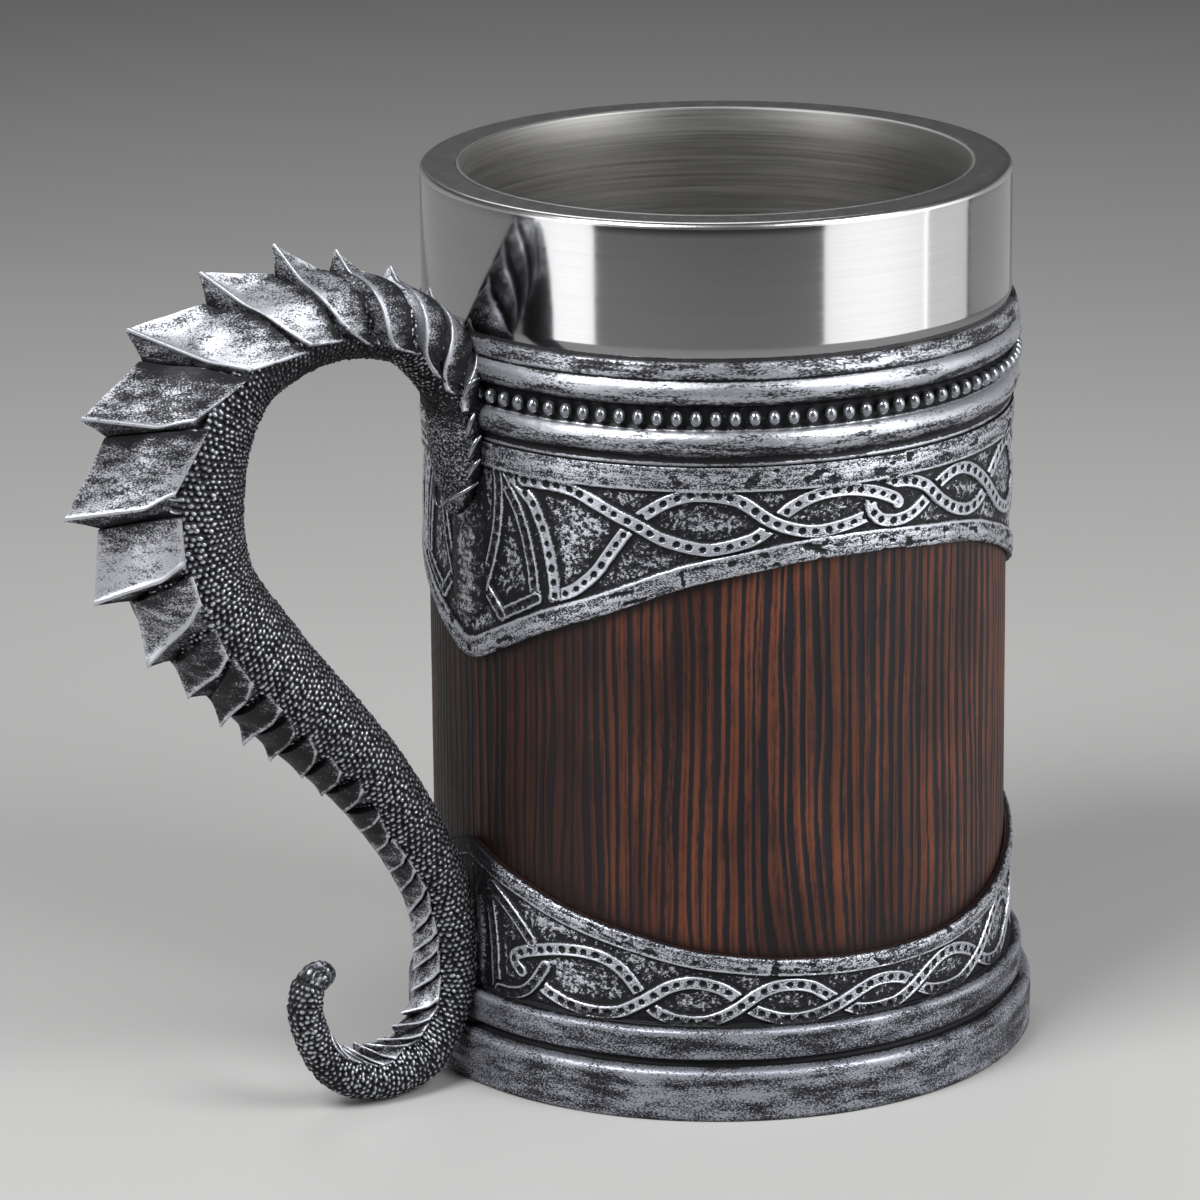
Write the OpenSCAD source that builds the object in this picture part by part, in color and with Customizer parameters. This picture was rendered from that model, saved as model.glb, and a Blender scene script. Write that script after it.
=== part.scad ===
// Steel-lined tankard with knotwork mounts and a scaled tail handle.
// Millimetres. The mug's axis is Z, its base is on z = 0, and the handle
// reaches out along -X. Everything is symmetric about y = 0, apart from
// the end of the tail, which leans to the -Y side to clear the foot.

/* [Mug] */
// Height from the table to the rim
total_h = 150; // [148:0.5:153]
// Outer radius of the polished steel collar
collar_r = 49.2; // [48.9:0.1:49.6]
// Radius of the drinking opening
mouth_r = 42.4; // [38:0.2:43.4]
// Outer radius of the wood-grained barrel
barrel_r = 48.6; // [48.2:0.1:48.8]
// Depth of the cup, from the rim to its floor
cup_depth = 139; // [110:1:140]

/* [Steel] */
// Wall of the drawn inner cup
liner_wall = 0.7; // [0.5:0.1:1]
// Wall of the outer shell and its collar
shell_wall = 0.8; // [0.6:0.1:1]

/* [Mounts] */
// Height of the collar's lower edge
collar_z = 128; // [127.6:0.1:128.4]
// Number of beads round the mouth band
bead_n = 100; // [80:1:104]
// Diameter of one bead
bead_d = 2.0; // [1.6:0.1:2.2]
// Outer radius of the foot's lower step
foot_r = 53.5; // [53:0.1:54]
// Outer radius of the foot's upper step
step_r = 51.9; // [51.6:0.1:52.2]
// How far the upper apron stands proud of the barrel
upper_relief = 1.2; // [0.9:0.1:1.5]
// How far the lower apron stands proud of the barrel
lower_relief = 1.7; // [1.4:0.1:1.9]

/* [Tail handle] */
// Diameter of the steel armature inside the tail
rod_d = 2.4; // [1.6:0.1:2.6]
// Diameter of the two dowels that pin the tail to the mug
dowel_d = 4; // [3:0.1:4.5]
// Height of the scutes, as a share of the full height
scute_h = 1; // [0.8:0.02:1.05]

/* [Hidden] */
$fn = 96;
gap = 0.05;

shell_in = 46.1;                    // inside of the hidden outer shell
shell_out = shell_in + shell_wall;
mount_in = barrel_r + gap;          // bore of every mount that sleeves the barrel
band_z0 = 110.2;                    // underside of the mouth band
band_z1 = collar_z - 0.6;           // its top, where the sealant sits
foot_top = 15.3;
liner_r = mouth_r + liner_wall;
cup_z = total_h - cup_depth;        // floor of the cup, inside
dowels = [[54.6, 114], [53, 24]];   // each dowel's reach and height

// ---- edges of the two aprons ------------------------------------------
// Height of each apron's wavy edge against the angle from the handle.
upper_edge = [[0, 72.4], [3, 72.8], [6, 73.9], [11, 76.0], [16, 78.1], [21, 80.2], [26, 82.0],
  [31, 83.6], [36, 85.3], [41, 87.1], [46, 88.9], [51, 90.4], [56, 91.5], [61, 92.3],
  [66, 93.1], [71, 93.9], [76, 94.2], [83, 94.35], [89, 94.2], [96, 93.7], [101, 93.2],
  [106, 92.7], [111, 92.0], [116, 91.0], [121, 89.5], [126, 88.1], [137, 84.4], [150, 79.7],
  [160, 76.5], [170, 73.8], [177, 72.6], [180, 72.4]];
lower_edge = [[0, 41], [3, 40.2], [6, 39.2], [10.5, 37.8], [15.5, 36.5], [21, 34.9], [26, 33.5],
  [31, 32.4], [36, 31.3], [41, 30.3], [46, 29.2], [51, 28.3], [56, 27.7], [61, 27.2],
  [66, 26.7], [71, 26.4], [76, 26.15], [81, 25.95], [86, 25.85], [91, 25.8], [96, 25.95],
  [101, 26.1], [106, 26.4], [111, 27.0], [116, 27.8], [121, 28.7], [128, 30.2], [135, 31.9],
  [145, 34.4], [155, 36.8], [165, 39], [174, 40.6], [180, 41]];

// ---- route of the tail ------------------------------------------------
// [distance from the mug's axis, height, radius, lean towards -Y]
route = [
  [52.4, 97, 1.2, 0], [51.2, 100.5, 3.2, 0], [50.8, 105.5, 4.8, 0],
  [50.6, 111.5, 5.6, 0], [51, 116.8, 5.8, 0], [53.6, 122.8, 5.8, 0],
  [60.2, 129.5, 5.9, 0], [70.8, 133.1, 6.7, 0], [82.4, 132.9, 7.8, 0],
  [93.6, 128.2, 8.8, 0], [100.6, 118.7, 9.7, 0], [103, 106.5, 10, 0],
  [102.2, 96.5, 10, 0], [98.6, 88.5, 9.5, 0], [88.8, 76.7, 8.6, 0],
  [77.5, 64.4, 7.4, 0], [70.6, 56.7, 6.7, 0], [65, 48.9, 6.1, 0],
  [60.2, 41, 5.6, 0], [56.4, 32.5, 5.1, 0], [55.1, 24.5, 4.8, 0],
  [55, 17.5, 4.6, 0], [57, 11.2, 4.5, 0.6], [61.2, 6.2, 4.4, 1.8],
  [66, 4.6, 4.1, 2.6], [71, 4.2, 3.7, 3], [76, 5.4, 3.3, 3],
  [80.4, 9, 3, 3], [83.2, 14.6, 2.8, 3], [84, 19.6, 2.7, 3],
  [82.3, 23.4, 2.55, 3], [78.2, 23.8, 2.4, 3]];
n_route = len(route);

// ---- rules for the scutes, each against the scute's number ------------
n_scute = 36;                       // counted from the arch's foot, 0 is plain
// station along the route, counted in route points
st_u = [[-1, 4.6], [0, 5.34], [1, 5.78], [2, 6.35], [3, 7.1], [4, 7.8],
  [5, 8.55], [6, 9.2], [7, 9.95], [8, 10.85], [9, 11.75], [10, 12.8],
  [11, 13.4], [12, 13.9], [14, 14.55], [17, 16.15], [20, 17.8],
  [23, 19.4], [25, 20.3], [27, 22.15], [28, 23.4], [30, 25.3],
  [32, 26.4], [35, 27.6]];
// height of the keel's tip above the spine
tip_h = [[0, 6.6], [1, 8], [2, 9], [3, 10.8], [4, 13.8], [5, 16], [6, 18.8],
  [7, 20.2], [8, 20.8], [9, 17.4], [10, 13.6], [11, 12], [13, 10.9],
  [14, 9.8], [15, 8.4], [17, 7], [20, 6.3], [24, 6.6], [27, 7.5],
  [28, 7.4], [30, 5.8], [32, 4.4], [35, 3.3]];
// how far the tip sweeps back towards the tail's end
tip_s = [[26, 2.2], [28, 1.4], [35, 1.1]];
// share of the tip's height at which the next scute starts
start_k = 0.76;
// clearance between neighbouring scutes
function seam(k) = k < 7.5 ? 0.5 : 0.3;

// ---- smooth curve through the route ------------------------------------
function rp(i) = route[max(0, min(n_route - 1, i))];
function at(u) =
  let (i = max(0, min(n_route - 2, floor(u))), f = u - i,
       b = rp(i), c = rp(i + 1),
       a = i == 0 ? 2 * b - c : rp(i - 1),
       d = i == n_route - 2 ? 2 * c - b : rp(i + 2))
  0.5 * (2 * b + (c - a) * f + (2 * a - 5 * b + 4 * c - d) * f * f
         + (3 * b - 3 * c + d - a) * f * f * f);
function heading(u) =
  let (d = at(u + 0.01) - at(u - 0.01), l = norm([d[0], d[1]]))
  [d[0] / l, d[1] / l];
// A point at height h, side s and distance d along the heading from the
// spine at station u.
function pt(u, h, s, d = 0) =
  let (c = at(u), t = heading(u))
  [-(c[0] - t[1] * h + t[0] * d), s - c[3], c[1] + t[0] * h + t[1] * d];

M = 16;                                     // sides of the tail's skin
function ring(u, r, m = M) =
  [for (j = [0:m - 1]) pt(u, r * cos(j * 360 / m), r * sin(j * 360 / m))];
function uk(k) = lookup(k, st_u);

// A tube through the given stations: one ring each, closed by fans.
module sweep(us, rs, m = M) {
  n = len(us);
  pts = concat([for (i = [0:n - 1]) each ring(us[i], rs[i], m)],
    [pt(us[0], 0, 0), pt(us[n - 1], 0, 0)]);
  polyhedron(points = pts, faces = concat(
    [for (i = [0:n - 2], j = [0:m - 1]) each [
      [i * m + j, (i + 1) * m + (j + 1) % m, i * m + (j + 1) % m],
      [i * m + j, (i + 1) * m + j, (i + 1) * m + (j + 1) % m]]],
    [for (j = [0:m - 1]) [n * m, j, (j + 1) % m]],
    [for (j = [0:m - 1])
      [n * m + 1, (n - 1) * m + (j + 1) % m, (n - 1) * m + j]]), convexity = 8);
}

// The mug's outside where the tail and its scutes bed against it.
module mug_envelope() {
  rotate_extrude() {
    translate([0, collar_z - 1.7]) square([collar_r + 0.4, 30]);
    translate([0, band_z0 - 0.1]) square([51.2, collar_z - band_z0 - 0.3]);
    square([barrel_r + upper_relief + 0.05, band_z0]);
    square([barrel_r + lower_relief + 0.1, 42]);
    square([step_r + 0.1, foot_top + 0.1]);
    square([foot_r + 0.1, 9.2]);
  }
}

// ---- steel ------------------------------------------------------------
module liner_cup() color("gainsboro") rotate_extrude() difference() {
  union() {
    translate([0, cup_z - liner_wall]) square([liner_r - 6, 12]);
    translate([0, cup_z - liner_wall + 6]) square([liner_r, total_h - cup_z + liner_wall - 6]);
    translate([liner_r - 6, cup_z - liner_wall + 6]) circle(6);
  }
  translate([0, cup_z]) square([mouth_r - 5.3, total_h]);
  translate([0, cup_z + 5.3]) square([mouth_r, total_h]);
  translate([mouth_r - 5.3, cup_z + 5.3]) circle(5.3);
  translate([-100, -1]) square([100, 300]);
}

module outer_shell() color("silver") rotate_extrude() {
  // flat rim with a rounded outer edge
  translate([liner_r + 0.02, total_h - shell_wall])
    square([collar_r - 1 - liner_r - 0.02, shell_wall]);
  difference() {
    translate([collar_r - 1, total_h - 1]) circle(1);
    translate([collar_r - 2.1, total_h - 2.1]) square([1.1, 2.2 - shell_wall - 0.1]);
  }
  // polished collar
  translate([collar_r - shell_wall, collar_z])
    square([shell_wall, total_h - collar_z - 1]);
  // step inwards, then the hidden shell down to the base
  translate([shell_in, collar_z]) square([collar_r - shell_in, shell_wall]);
  translate([shell_in, cup_z - 5]) square([shell_wall, collar_z - cup_z + 5.2]);
}

module shell_base() color("darkgray") rotate_extrude() {
  translate([0, cup_z - 5]) square([shell_in - gap, shell_wall]);
  translate([shell_in - gap - shell_wall, cup_z - 5]) square([shell_wall, 5]);
}

module collar_seal() color([0.12, 0.12, 0.13])
  translate([0, 0, band_z1 + 0.02]) difference() {
    cylinder(h = collar_z - band_z1 - 0.04, r = collar_r - 0.2);
    translate([0, 0, -1]) cylinder(h = 3, r = shell_out + 0.02);
  }

// ---- cast body --------------------------------------------------------
module dowel_holes() {
  for (d = dowels) translate([-d[0] - 0.1, 0, d[1]]) rotate([0, 90, 0])
    cylinder(h = d[0] - shell_in + 1, r = dowel_d / 2 + 0.02);
}

module barrel() color([0.36, 0.17, 0.11]) difference() {
  translate([0, 0, 6]) cylinder(h = band_z1 - 6, r = barrel_r);
  translate([0, 0, 5]) cylinder(h = 200, r = shell_out + 0.05);
  dowel_holes();
}

module mouth_band() color([0.55, 0.55, 0.56]) difference() {
  rotate_extrude() difference() {
    union() {
      translate([mount_in - 1, band_z0]) square([1.5, band_z1 - band_z0]);
      translate([barrel_r, 122.55]) circle(2.4);
      translate([barrel_r - 0.35, 114.1]) circle(2.4);
      polygon([[mount_in - 1, 124.6], [barrel_r + 1.7, 124.8], [barrel_r + 1.8, 125.3],
        [barrel_r + 1.2, band_z1], [mount_in - 1, band_z1]]);
    }
    translate([0, 100]) square([mount_in, 40]);
  }
  dowel_holes();
}

// Beads that sit in the dark channel between the two rolls.
module bead_row() color("silver")
  for (i = [0:bead_n - 1]) rotate([0, 0, (i + 0.5) * 360 / bead_n])
    translate([mount_in + 0.52 + bead_d / 2, 0, 118.35])
      sphere(d = bead_d, $fn = 24);

// Half-space above or below a wavy edge that depends on x alone.
module above_edge(edge, r, top) {
  rotate([90, 0, 0]) translate([0, 0, -80]) linear_extrude(160)
    polygon(concat([[-90, edge[0][1]]],
      [for (a = [0:5:180]) [-r * cos(a), lookup(a, edge)]],
      [[90, edge[len(edge) - 1][1]], [90, top], [-90, top]]));
}

module upper_apron() color([0.5, 0.5, 0.51]) difference() {
  intersection() {
    translate([0, 0, 70]) cylinder(h = band_z0 - 70.03, r = barrel_r + upper_relief);
    above_edge(upper_edge, barrel_r, 130);
  }
  translate([0, 0, 60]) cylinder(h = 80, r = mount_in);
}

module lower_apron() color([0.5, 0.5, 0.51]) difference() {
  translate([0, 0, foot_top + 0.03])
    cylinder(h = 30, r = barrel_r + lower_relief);
  above_edge(lower_edge, barrel_r, 90);
  translate([0, 0, 0]) cylinder(h = 80, r = mount_in);
  dowel_holes();
}

module foot() color([0.45, 0.45, 0.46]) rotate_extrude() difference() {
  union() {
    square([foot_r - 1, 8.8]);
    square([foot_r, 7.8]);
    translate([foot_r - 1, 7.8]) circle(1);
    square([step_r - 1.1, 12]);
    translate([0, 10.1]) square([step_r, 4.4]);
    translate([0, 10.1]) square([step_r - 0.8, foot_top - 10.1]);
    translate([step_r - 0.8, foot_top - 0.8]) circle(0.8);
  }
  square([mount_in, 40]);
}

module base_plate() color([0.2, 0.2, 0.21]) cylinder(h = 5.95, r = barrel_r);

// ---- tail -------------------------------------------------------------
// Stations of the skin's rings: close together at the root and the tip,
// and two to a scute between them.
core_u = concat([0, 0.5, 1, 1.6, 2.2, 2.8, 3.4],
  [for (k = [-1:0.5:n_scute - 1]) uk(k)], [28, 28.7, 29.4, 30, 30.5, 30.8, 31]);
core_r = [for (u = core_u) u > 30.9 ? 1 : u > 30.7 ? 1.9 : at(u)[2]];

module tail_core() color([0.3, 0.3, 0.31]) difference() {
  sweep(core_u, core_r);
  mug_envelope();
  sweep(rod_u, [for (u = rod_u) rod_d / 2 + 0.02], 8);
  dowel_holes();
}

rod_u = [for (k = [5.6:0.6:24.2]) k];
module tail_armature() color("dimgray")
  sweep(rod_u, [for (u = rod_u) rod_d / 2], 8);

// Upper dowel and lower dowel, each through the barrel's wall.
module tail_dowels() color("gray")
  for (d = dowels) translate([-d[0], 0, d[1]]) rotate([0, 90, 0])
    cylinder(h = d[0] - shell_out - 0.2, r = dowel_d / 2);

// Outlines of scute k at its station: lip, flank, keel, flank, lip.
function sc_r(k) = at(uk(k))[2];
function tip(k) = lookup(k, tip_h) * scute_h;
function keel0(k) = max(sc_r(k) + 0.5, tip(k) * start_k);
function arc_m(k) = k < 6.5 ? 4 : k < 10.5 ? 3 : 2;
function arc(k, m, d = 0) = [for (j = [-m:m]) let (r = sc_r(k) + 0.1)
  pt(uk(k), r * cos(j * 360 / M), r * sin(j * 360 / M), d)];
// A point just outside the skin, at the arc's end.
function flare(k, m, g) = let (a = m * 360 / M + 2, r = sc_r(k) + g)
  [r * cos(a), r * sin(a)];
// The flank's ridge at station k, kept at least g clear of the skin.
lip_a = [[6, 90], [7, 67.5], [10, 67.5], [11, 45]];
function flank(k, h, c, g) =
  let (a = lookup(k, lip_a), r = sc_r(k) + g,
       p = [(r * cos(a) + h) * c, r * sin(a) * 0.62])
  p * max(1, r / norm(p));
// Between lip and flank, the outline keeps clear of the skin.
function hip(f, q, r) = let (p = (f + q) / 2) p * max(1, r / norm(p));
function outline(u, f, q, h, r, d) =
  let (e = hip(f, q, r))
  [pt(u, f[0], f[1], d[0]), pt(u, e[0], e[1], d[1]), pt(u, q[0], q[1], d[2]),
   pt(u, h, 0, d[3]), pt(u, q[0], -q[1], d[2]), pt(u, e[0], -e[1], d[1]),
   pt(u, f[0], -f[1], d[0])];
function low(k, m, d = 0) =
  let (h = keel0(k), r = sc_r(k))
  outline(uk(k), flare(k, m, 0.05 + 0.08 * r),
    flank(k, h, 0.52, 0.05 + 0.12 * r), h, 0.1 + 1.1 * r, [d, d, d, d]);
function high(k, m) =
  let (h = max(tip(k), keel0(k) + 0.6), s = lookup(k, tip_s), r = sc_r(k))
  outline(uk(k), flare(k, m, 0.3 + 0.11 * r),
    flank(k, h, 0.55, 0.4 + 0.16 * r), h, 0.4 + 1.15 * r,
    [0.2, 0.25, s * 0.35, s]);

// A cap between an arc that starts at point a and an outline that starts
// at point o, in strips. Arc point m + a is the middle one.
function cap(a, o, m, turn) =
  let (n = max(m - 1, 2), e = [m, n, 2, 1, -1, -2, -n, -m],
       c = a + m,
       t = concat(
         [for (i = [0:6]) each (e[i] > e[i + 1]
           ? [for (j = [e[i]:-1:e[i + 1] + 1]) [o + i, c + j - 1, c + j]] : [])],
         [for (i = [0:5]) [o + i, o + i + 1, c + e[i + 1]]]))
  turn ? [for (f = t) [f[0], f[2], f[1]]] : t;

module scute(k) {
  m = arc_m(k);
  w = 2 * m + 1;
  // skin side: three arcs; then front outline, rear outline, free edge
  pts = concat(arc(k - 1, m, seam(k)), arc(k - 0.5, m), arc(k, m),
    low(k - 1, m, seam(k)), low(k, m), high(k, m));
  F = 3 * w;
  B = F + 7;
  H = B + 7;
  polyhedron(points = pts, convexity = 4, faces = concat(
    // against the skin, split as the skin is
    [for (i = [0, 1], j = [0:w - 2]) each [
      [i * w + j, i * w + j + 1, (i + 1) * w + j + 1],
      [i * w + j, (i + 1) * w + j + 1, (i + 1) * w + j]]],
    // outer face, from the front outline to the free edge
    [for (j = [0:5]) each [[F + j, F + j + 1, H + j + 1], [F + j, H + j + 1, H + j]]],
    // step under the free edge
    [for (j = [0:5]) each [[H + j, H + j + 1, B + j + 1], [H + j, B + j + 1, B + j]]],
    // front and rear caps
    cap(0, F, m, true), cap(2 * w, B, m, false),
    // two sides
    [[0, w, F + 6], [w, 2 * w, B + 6], [w, B + 6, H + 6], [w, H + 6, F + 6]],
    [[w - 1, F, 2 * w - 1], [2 * w - 1, B, 3 * w - 1], [2 * w - 1, H, B],
     [2 * w - 1, F, H]]));
}

module arch_scutes() color([0.62, 0.62, 0.63])
  for (k = [1:9]) scute(k);
module back_scutes() color([0.55, 0.55, 0.56])
  for (k = [10:21]) scute(k);
module curl_scutes() color([0.6, 0.6, 0.61])
  for (k = [22:n_scute - 1]) scute(k);

liner_cup();
outer_shell();
shell_base();
collar_seal();
barrel();
mouth_band();
bead_row();
upper_apron();
lower_apron();
foot();
base_plate();
tail_core();
tail_armature();
tail_dowels();
arch_scutes();
back_scutes();
curl_scutes();
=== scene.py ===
import math
import bpy
import numpy as np
from mathutils import Matrix, Vector


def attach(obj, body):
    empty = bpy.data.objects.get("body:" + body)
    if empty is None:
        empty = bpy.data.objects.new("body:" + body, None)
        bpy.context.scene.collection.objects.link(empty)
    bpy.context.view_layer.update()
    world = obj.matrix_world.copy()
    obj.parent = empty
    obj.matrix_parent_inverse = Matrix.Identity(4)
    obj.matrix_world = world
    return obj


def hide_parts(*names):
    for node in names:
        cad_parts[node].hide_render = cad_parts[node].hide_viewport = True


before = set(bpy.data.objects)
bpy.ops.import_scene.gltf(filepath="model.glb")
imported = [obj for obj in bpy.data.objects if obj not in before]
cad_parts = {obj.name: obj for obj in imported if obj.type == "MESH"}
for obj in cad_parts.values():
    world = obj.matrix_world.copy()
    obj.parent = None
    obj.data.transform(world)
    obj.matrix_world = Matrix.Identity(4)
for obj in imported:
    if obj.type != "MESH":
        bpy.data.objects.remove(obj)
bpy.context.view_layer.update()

MM = 0.001
RAD = math.pi / 180
scene = bpy.context.scene


# ---------------------------------------------------------------- helpers
def hash2(ix, iy, seed):
    ix = np.asarray(ix, np.int64) & 0xFFFFFF
    iy = np.asarray(iy, np.int64) & 0xFFFFFF
    n = (ix * 374761393 + iy * 668265263 + seed * 974634777) & 0xFFFFFFFF
    n = ((n ^ (n >> 13)) * 1274126177) & 0xFFFFFFFF
    n = ((n ^ (n >> 16)) * 461845907) & 0xFFFFFFFF
    return ((n ^ (n >> 15)) & 0xFFFFF) / float(0xFFFFF)


def vn(x, y, seed, wrap=0):
    """Smooth value noise, 0 to 1, with a period of wrap cells along x."""
    x, y = np.asarray(x, float), np.asarray(y, float)
    ix, iy = np.floor(x).astype(np.int64), np.floor(y).astype(np.int64)
    fx, fy = x - ix, y - iy
    fx, fy = fx * fx * (3 - 2 * fx), fy * fy * (3 - 2 * fy)
    a, b = ix, ix + 1
    if wrap:
        a, b = a % wrap, b % wrap
    h = hash2
    return ((h(a, iy, seed) * (1 - fx) + h(b, iy, seed) * fx) * (1 - fy)
            + (h(a, iy + 1, seed) * (1 - fx) + h(b, iy + 1, seed) * fx) * fy)


def fbm(x, y, seed, octaves=3):
    total, amp, out = 0.0, 1.0, 0.0
    for o in range(octaves):
        out = out + amp * vn(np.asarray(x) * 2 ** o, np.asarray(y) * 2 ** o, seed + o)
        total += amp
        amp *= 0.5
    return out / total


def smooth(a, b, x):
    t = np.clip((np.asarray(x, float) - a) / (b - a), 0, 1)
    return t * t * (3 - 2 * t)


def lerp(a, b, t):
    return a + (b - a) * t


def interp(table, x):
    t = np.array(table, float)
    return np.interp(x, t[:, 0], t[:, 1])


def grid_quads(nu, nv, wrap_u=False, wrap_v=False, base=0, flip=False):
    """Quads of a grid whose vertex (i, j) is base + i * nv + j."""
    i = np.arange(nu if wrap_u else nu - 1)
    j = np.arange(nv if wrap_v else nv - 1)
    I, J = np.meshgrid(i, j, indexing="ij")
    a = I * nv + J
    b = ((I + 1) % nu) * nv + J
    c = ((I + 1) % nu) * nv + (J + 1) % nv
    d = I * nv + (J + 1) % nv
    q = np.stack([a, b, c, d], -1).reshape(-1, 4) + base
    return q[:, ::-1] if flip else q


def make(name, verts, quads, mat, body="root", extra=(), attrs=None, sharp=None,
         slot=None, replaces=()):
    """A mesh piece from vertices in millimetres."""
    me = bpy.data.meshes.new(name)
    verts = np.asarray(verts, float).reshape(-1, 3) * MM
    quads = np.asarray(quads, np.int32).reshape(-1, 4)
    faces = [tuple(f) for f in extra]
    loops = quads.reshape(-1)
    starts = np.arange(len(quads)) * 4
    totals = np.full(len(quads), 4)
    for f in faces:
        starts = np.append(starts, len(loops))
        totals = np.append(totals, len(f))
        loops = np.append(loops, np.array(f, np.int32))
    me.vertices.add(len(verts))
    me.vertices.foreach_set("co", verts.astype(np.float32).ravel())
    me.loops.add(len(loops))
    me.loops.foreach_set("vertex_index", loops.astype(np.int32))
    me.polygons.add(len(starts))
    me.polygons.foreach_set("loop_start", starts.astype(np.int32))
    me.polygons.foreach_set("loop_total", totals.astype(np.int32))
    me.polygons.foreach_set("use_smooth", np.ones(len(starts), bool))
    for key, val in (attrs or {}).items():
        at = me.attributes.new(key, "FLOAT", "POINT")
        at.data.foreach_set("value", np.asarray(val, np.float32).ravel())
    me.update(calc_edges=True)
    me.validate()
    for m in mat if isinstance(mat, (list, tuple)) else [mat]:
        me.materials.append(m)
    ob = bpy.data.objects.new(name, me)
    scene.collection.objects.link(ob)
    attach(ob, body)
    for n in replaces:
        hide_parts(n)
    if sharp is not None:
        try:
            me.set_sharp_from_angle(angle=sharp * RAD)
        except Exception:
            pass
    return ob


def revolve(name, profile, mat, n, hi=None, bump=None, closed=True, **kw):
    """Solid of revolution of a closed (r, z) profile, counter-clockwise."""
    p = np.array(profile, float)
    m = len(p)
    phi = np.arange(n) * 2 * math.pi / n
    R = np.repeat(p[None, :, 0], n, 0)
    Z = np.repeat(p[None, :, 1], n, 0)
    if bump is not None:
        R = R + bump(phi[:, None] * np.ones((1, m)), Z, R)
    v = np.stack([R * np.cos(phi)[:, None], R * np.sin(phi)[:, None], Z], -1)
    q = grid_quads(n, m, True, closed)
    attrs = {}
    if hi is not None:
        attrs["hi"] = np.repeat(np.asarray(hi, float)[None, :], n, 0)
    return make(name, v, q, mat, attrs=attrs, **kw)


def arc(cx, cz, r, a0, a1, n):
    a = np.linspace(a0, a1, n) * RAD
    return [(cx + r * math.cos(t), cz + r * math.sin(t)) for t in a]


def densify(points, step):
    """Points along a polyline, no further apart than step."""
    out = []
    p = [tuple(q) for q in points]
    for a, b in zip(p[:-1], p[1:]):
        k = max(1, int(math.ceil(math.dist(a, b) / step)))
        for i in range(k):
            out.append((a[0] + (b[0] - a[0]) * i / k, a[1] + (b[1] - a[1]) * i / k))
    out.append(p[-1])
    return out


# -------------------------------------------------------------- materials
def new_mat(name):
    m = bpy.data.materials.new(name)
    m.use_nodes = True
    nt = m.node_tree
    for n in list(nt.nodes):
        if n.type != "OUTPUT_MATERIAL":
            nt.nodes.remove(n)
    out = nt.nodes[0]
    b = nt.nodes.new("ShaderNodeBsdfPrincipled")
    nt.links.new(b.outputs[0], out.inputs[0])
    return m, nt, b


class Net:
    """A few short-cuts for building a node tree."""

    def __init__(self, nt):
        self.nt = nt

    def node(self, kind, **props):
        n = self.nt.nodes.new(kind)
        for k, v in props.items():
            setattr(n, k, v)
        return n

    def link(self, a, b):
        self.nt.links.new(a, b)

    def coords(self, scale=(1, 1, 1)):
        tc = self.node("ShaderNodeTexCoord")
        mp = self.node("ShaderNodeMapping")
        mp.inputs["Scale"].default_value = scale
        self.link(tc.outputs["Object"], mp.inputs[0])
        return mp.outputs[0]

    def noise(self, vec, scale, detail=2.0, rough=0.5, dist=0.0):
        n = self.node("ShaderNodeTexNoise")
        n.inputs["Scale"].default_value = scale
        n.inputs["Detail"].default_value = detail
        n.inputs["Roughness"].default_value = rough
        n.inputs["Distortion"].default_value = dist
        self.link(vec, n.inputs["Vector"])
        return n.outputs[0]

    def attr(self, name):
        n = self.node("ShaderNodeAttribute")
        n.attribute_name = name
        return n.outputs["Fac"]

    def math(self, op, a, b=None, clamp=False):
        n = self.node("ShaderNodeMath", operation=op, use_clamp=clamp)
        for i, x in enumerate((a, b)):
            if x is None:
                continue
            if isinstance(x, (int, float)):
                n.inputs[i].default_value = x
            else:
                self.link(x, n.inputs[i])
        return n.outputs[0]

    def ramp(self, x, lo, hi, to_lo=0.0, to_hi=1.0, smooth=True):
        n = self.node("ShaderNodeMapRange")
        n.interpolation_type = "SMOOTHSTEP" if smooth else "LINEAR"
        n.inputs["From Min"].default_value = lo
        n.inputs["From Max"].default_value = hi
        n.inputs["To Min"].default_value = to_lo
        n.inputs["To Max"].default_value = to_hi
        self.link(x, n.inputs["Value"])
        return n.outputs[0]

    def mix(self, fac, a, b):
        n = self.node("ShaderNodeMix", data_type="RGBA")
        for sock, x in ((n.inputs[0], fac), (n.inputs[6], a), (n.inputs[7], b)):
            if isinstance(x, (int, float)):
                sock.default_value = x
            elif isinstance(x, tuple):
                sock.default_value = (*x, 1.0)
            else:
                self.link(x, sock)
        return n.outputs[2]

    def bump(self, height, dist, strength=1.0):
        n = self.node("ShaderNodeBump")
        n.inputs["Distance"].default_value = dist
        n.inputs["Strength"].default_value = strength
        self.link(height, n.inputs["Height"])
        return n.outputs[0]


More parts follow.
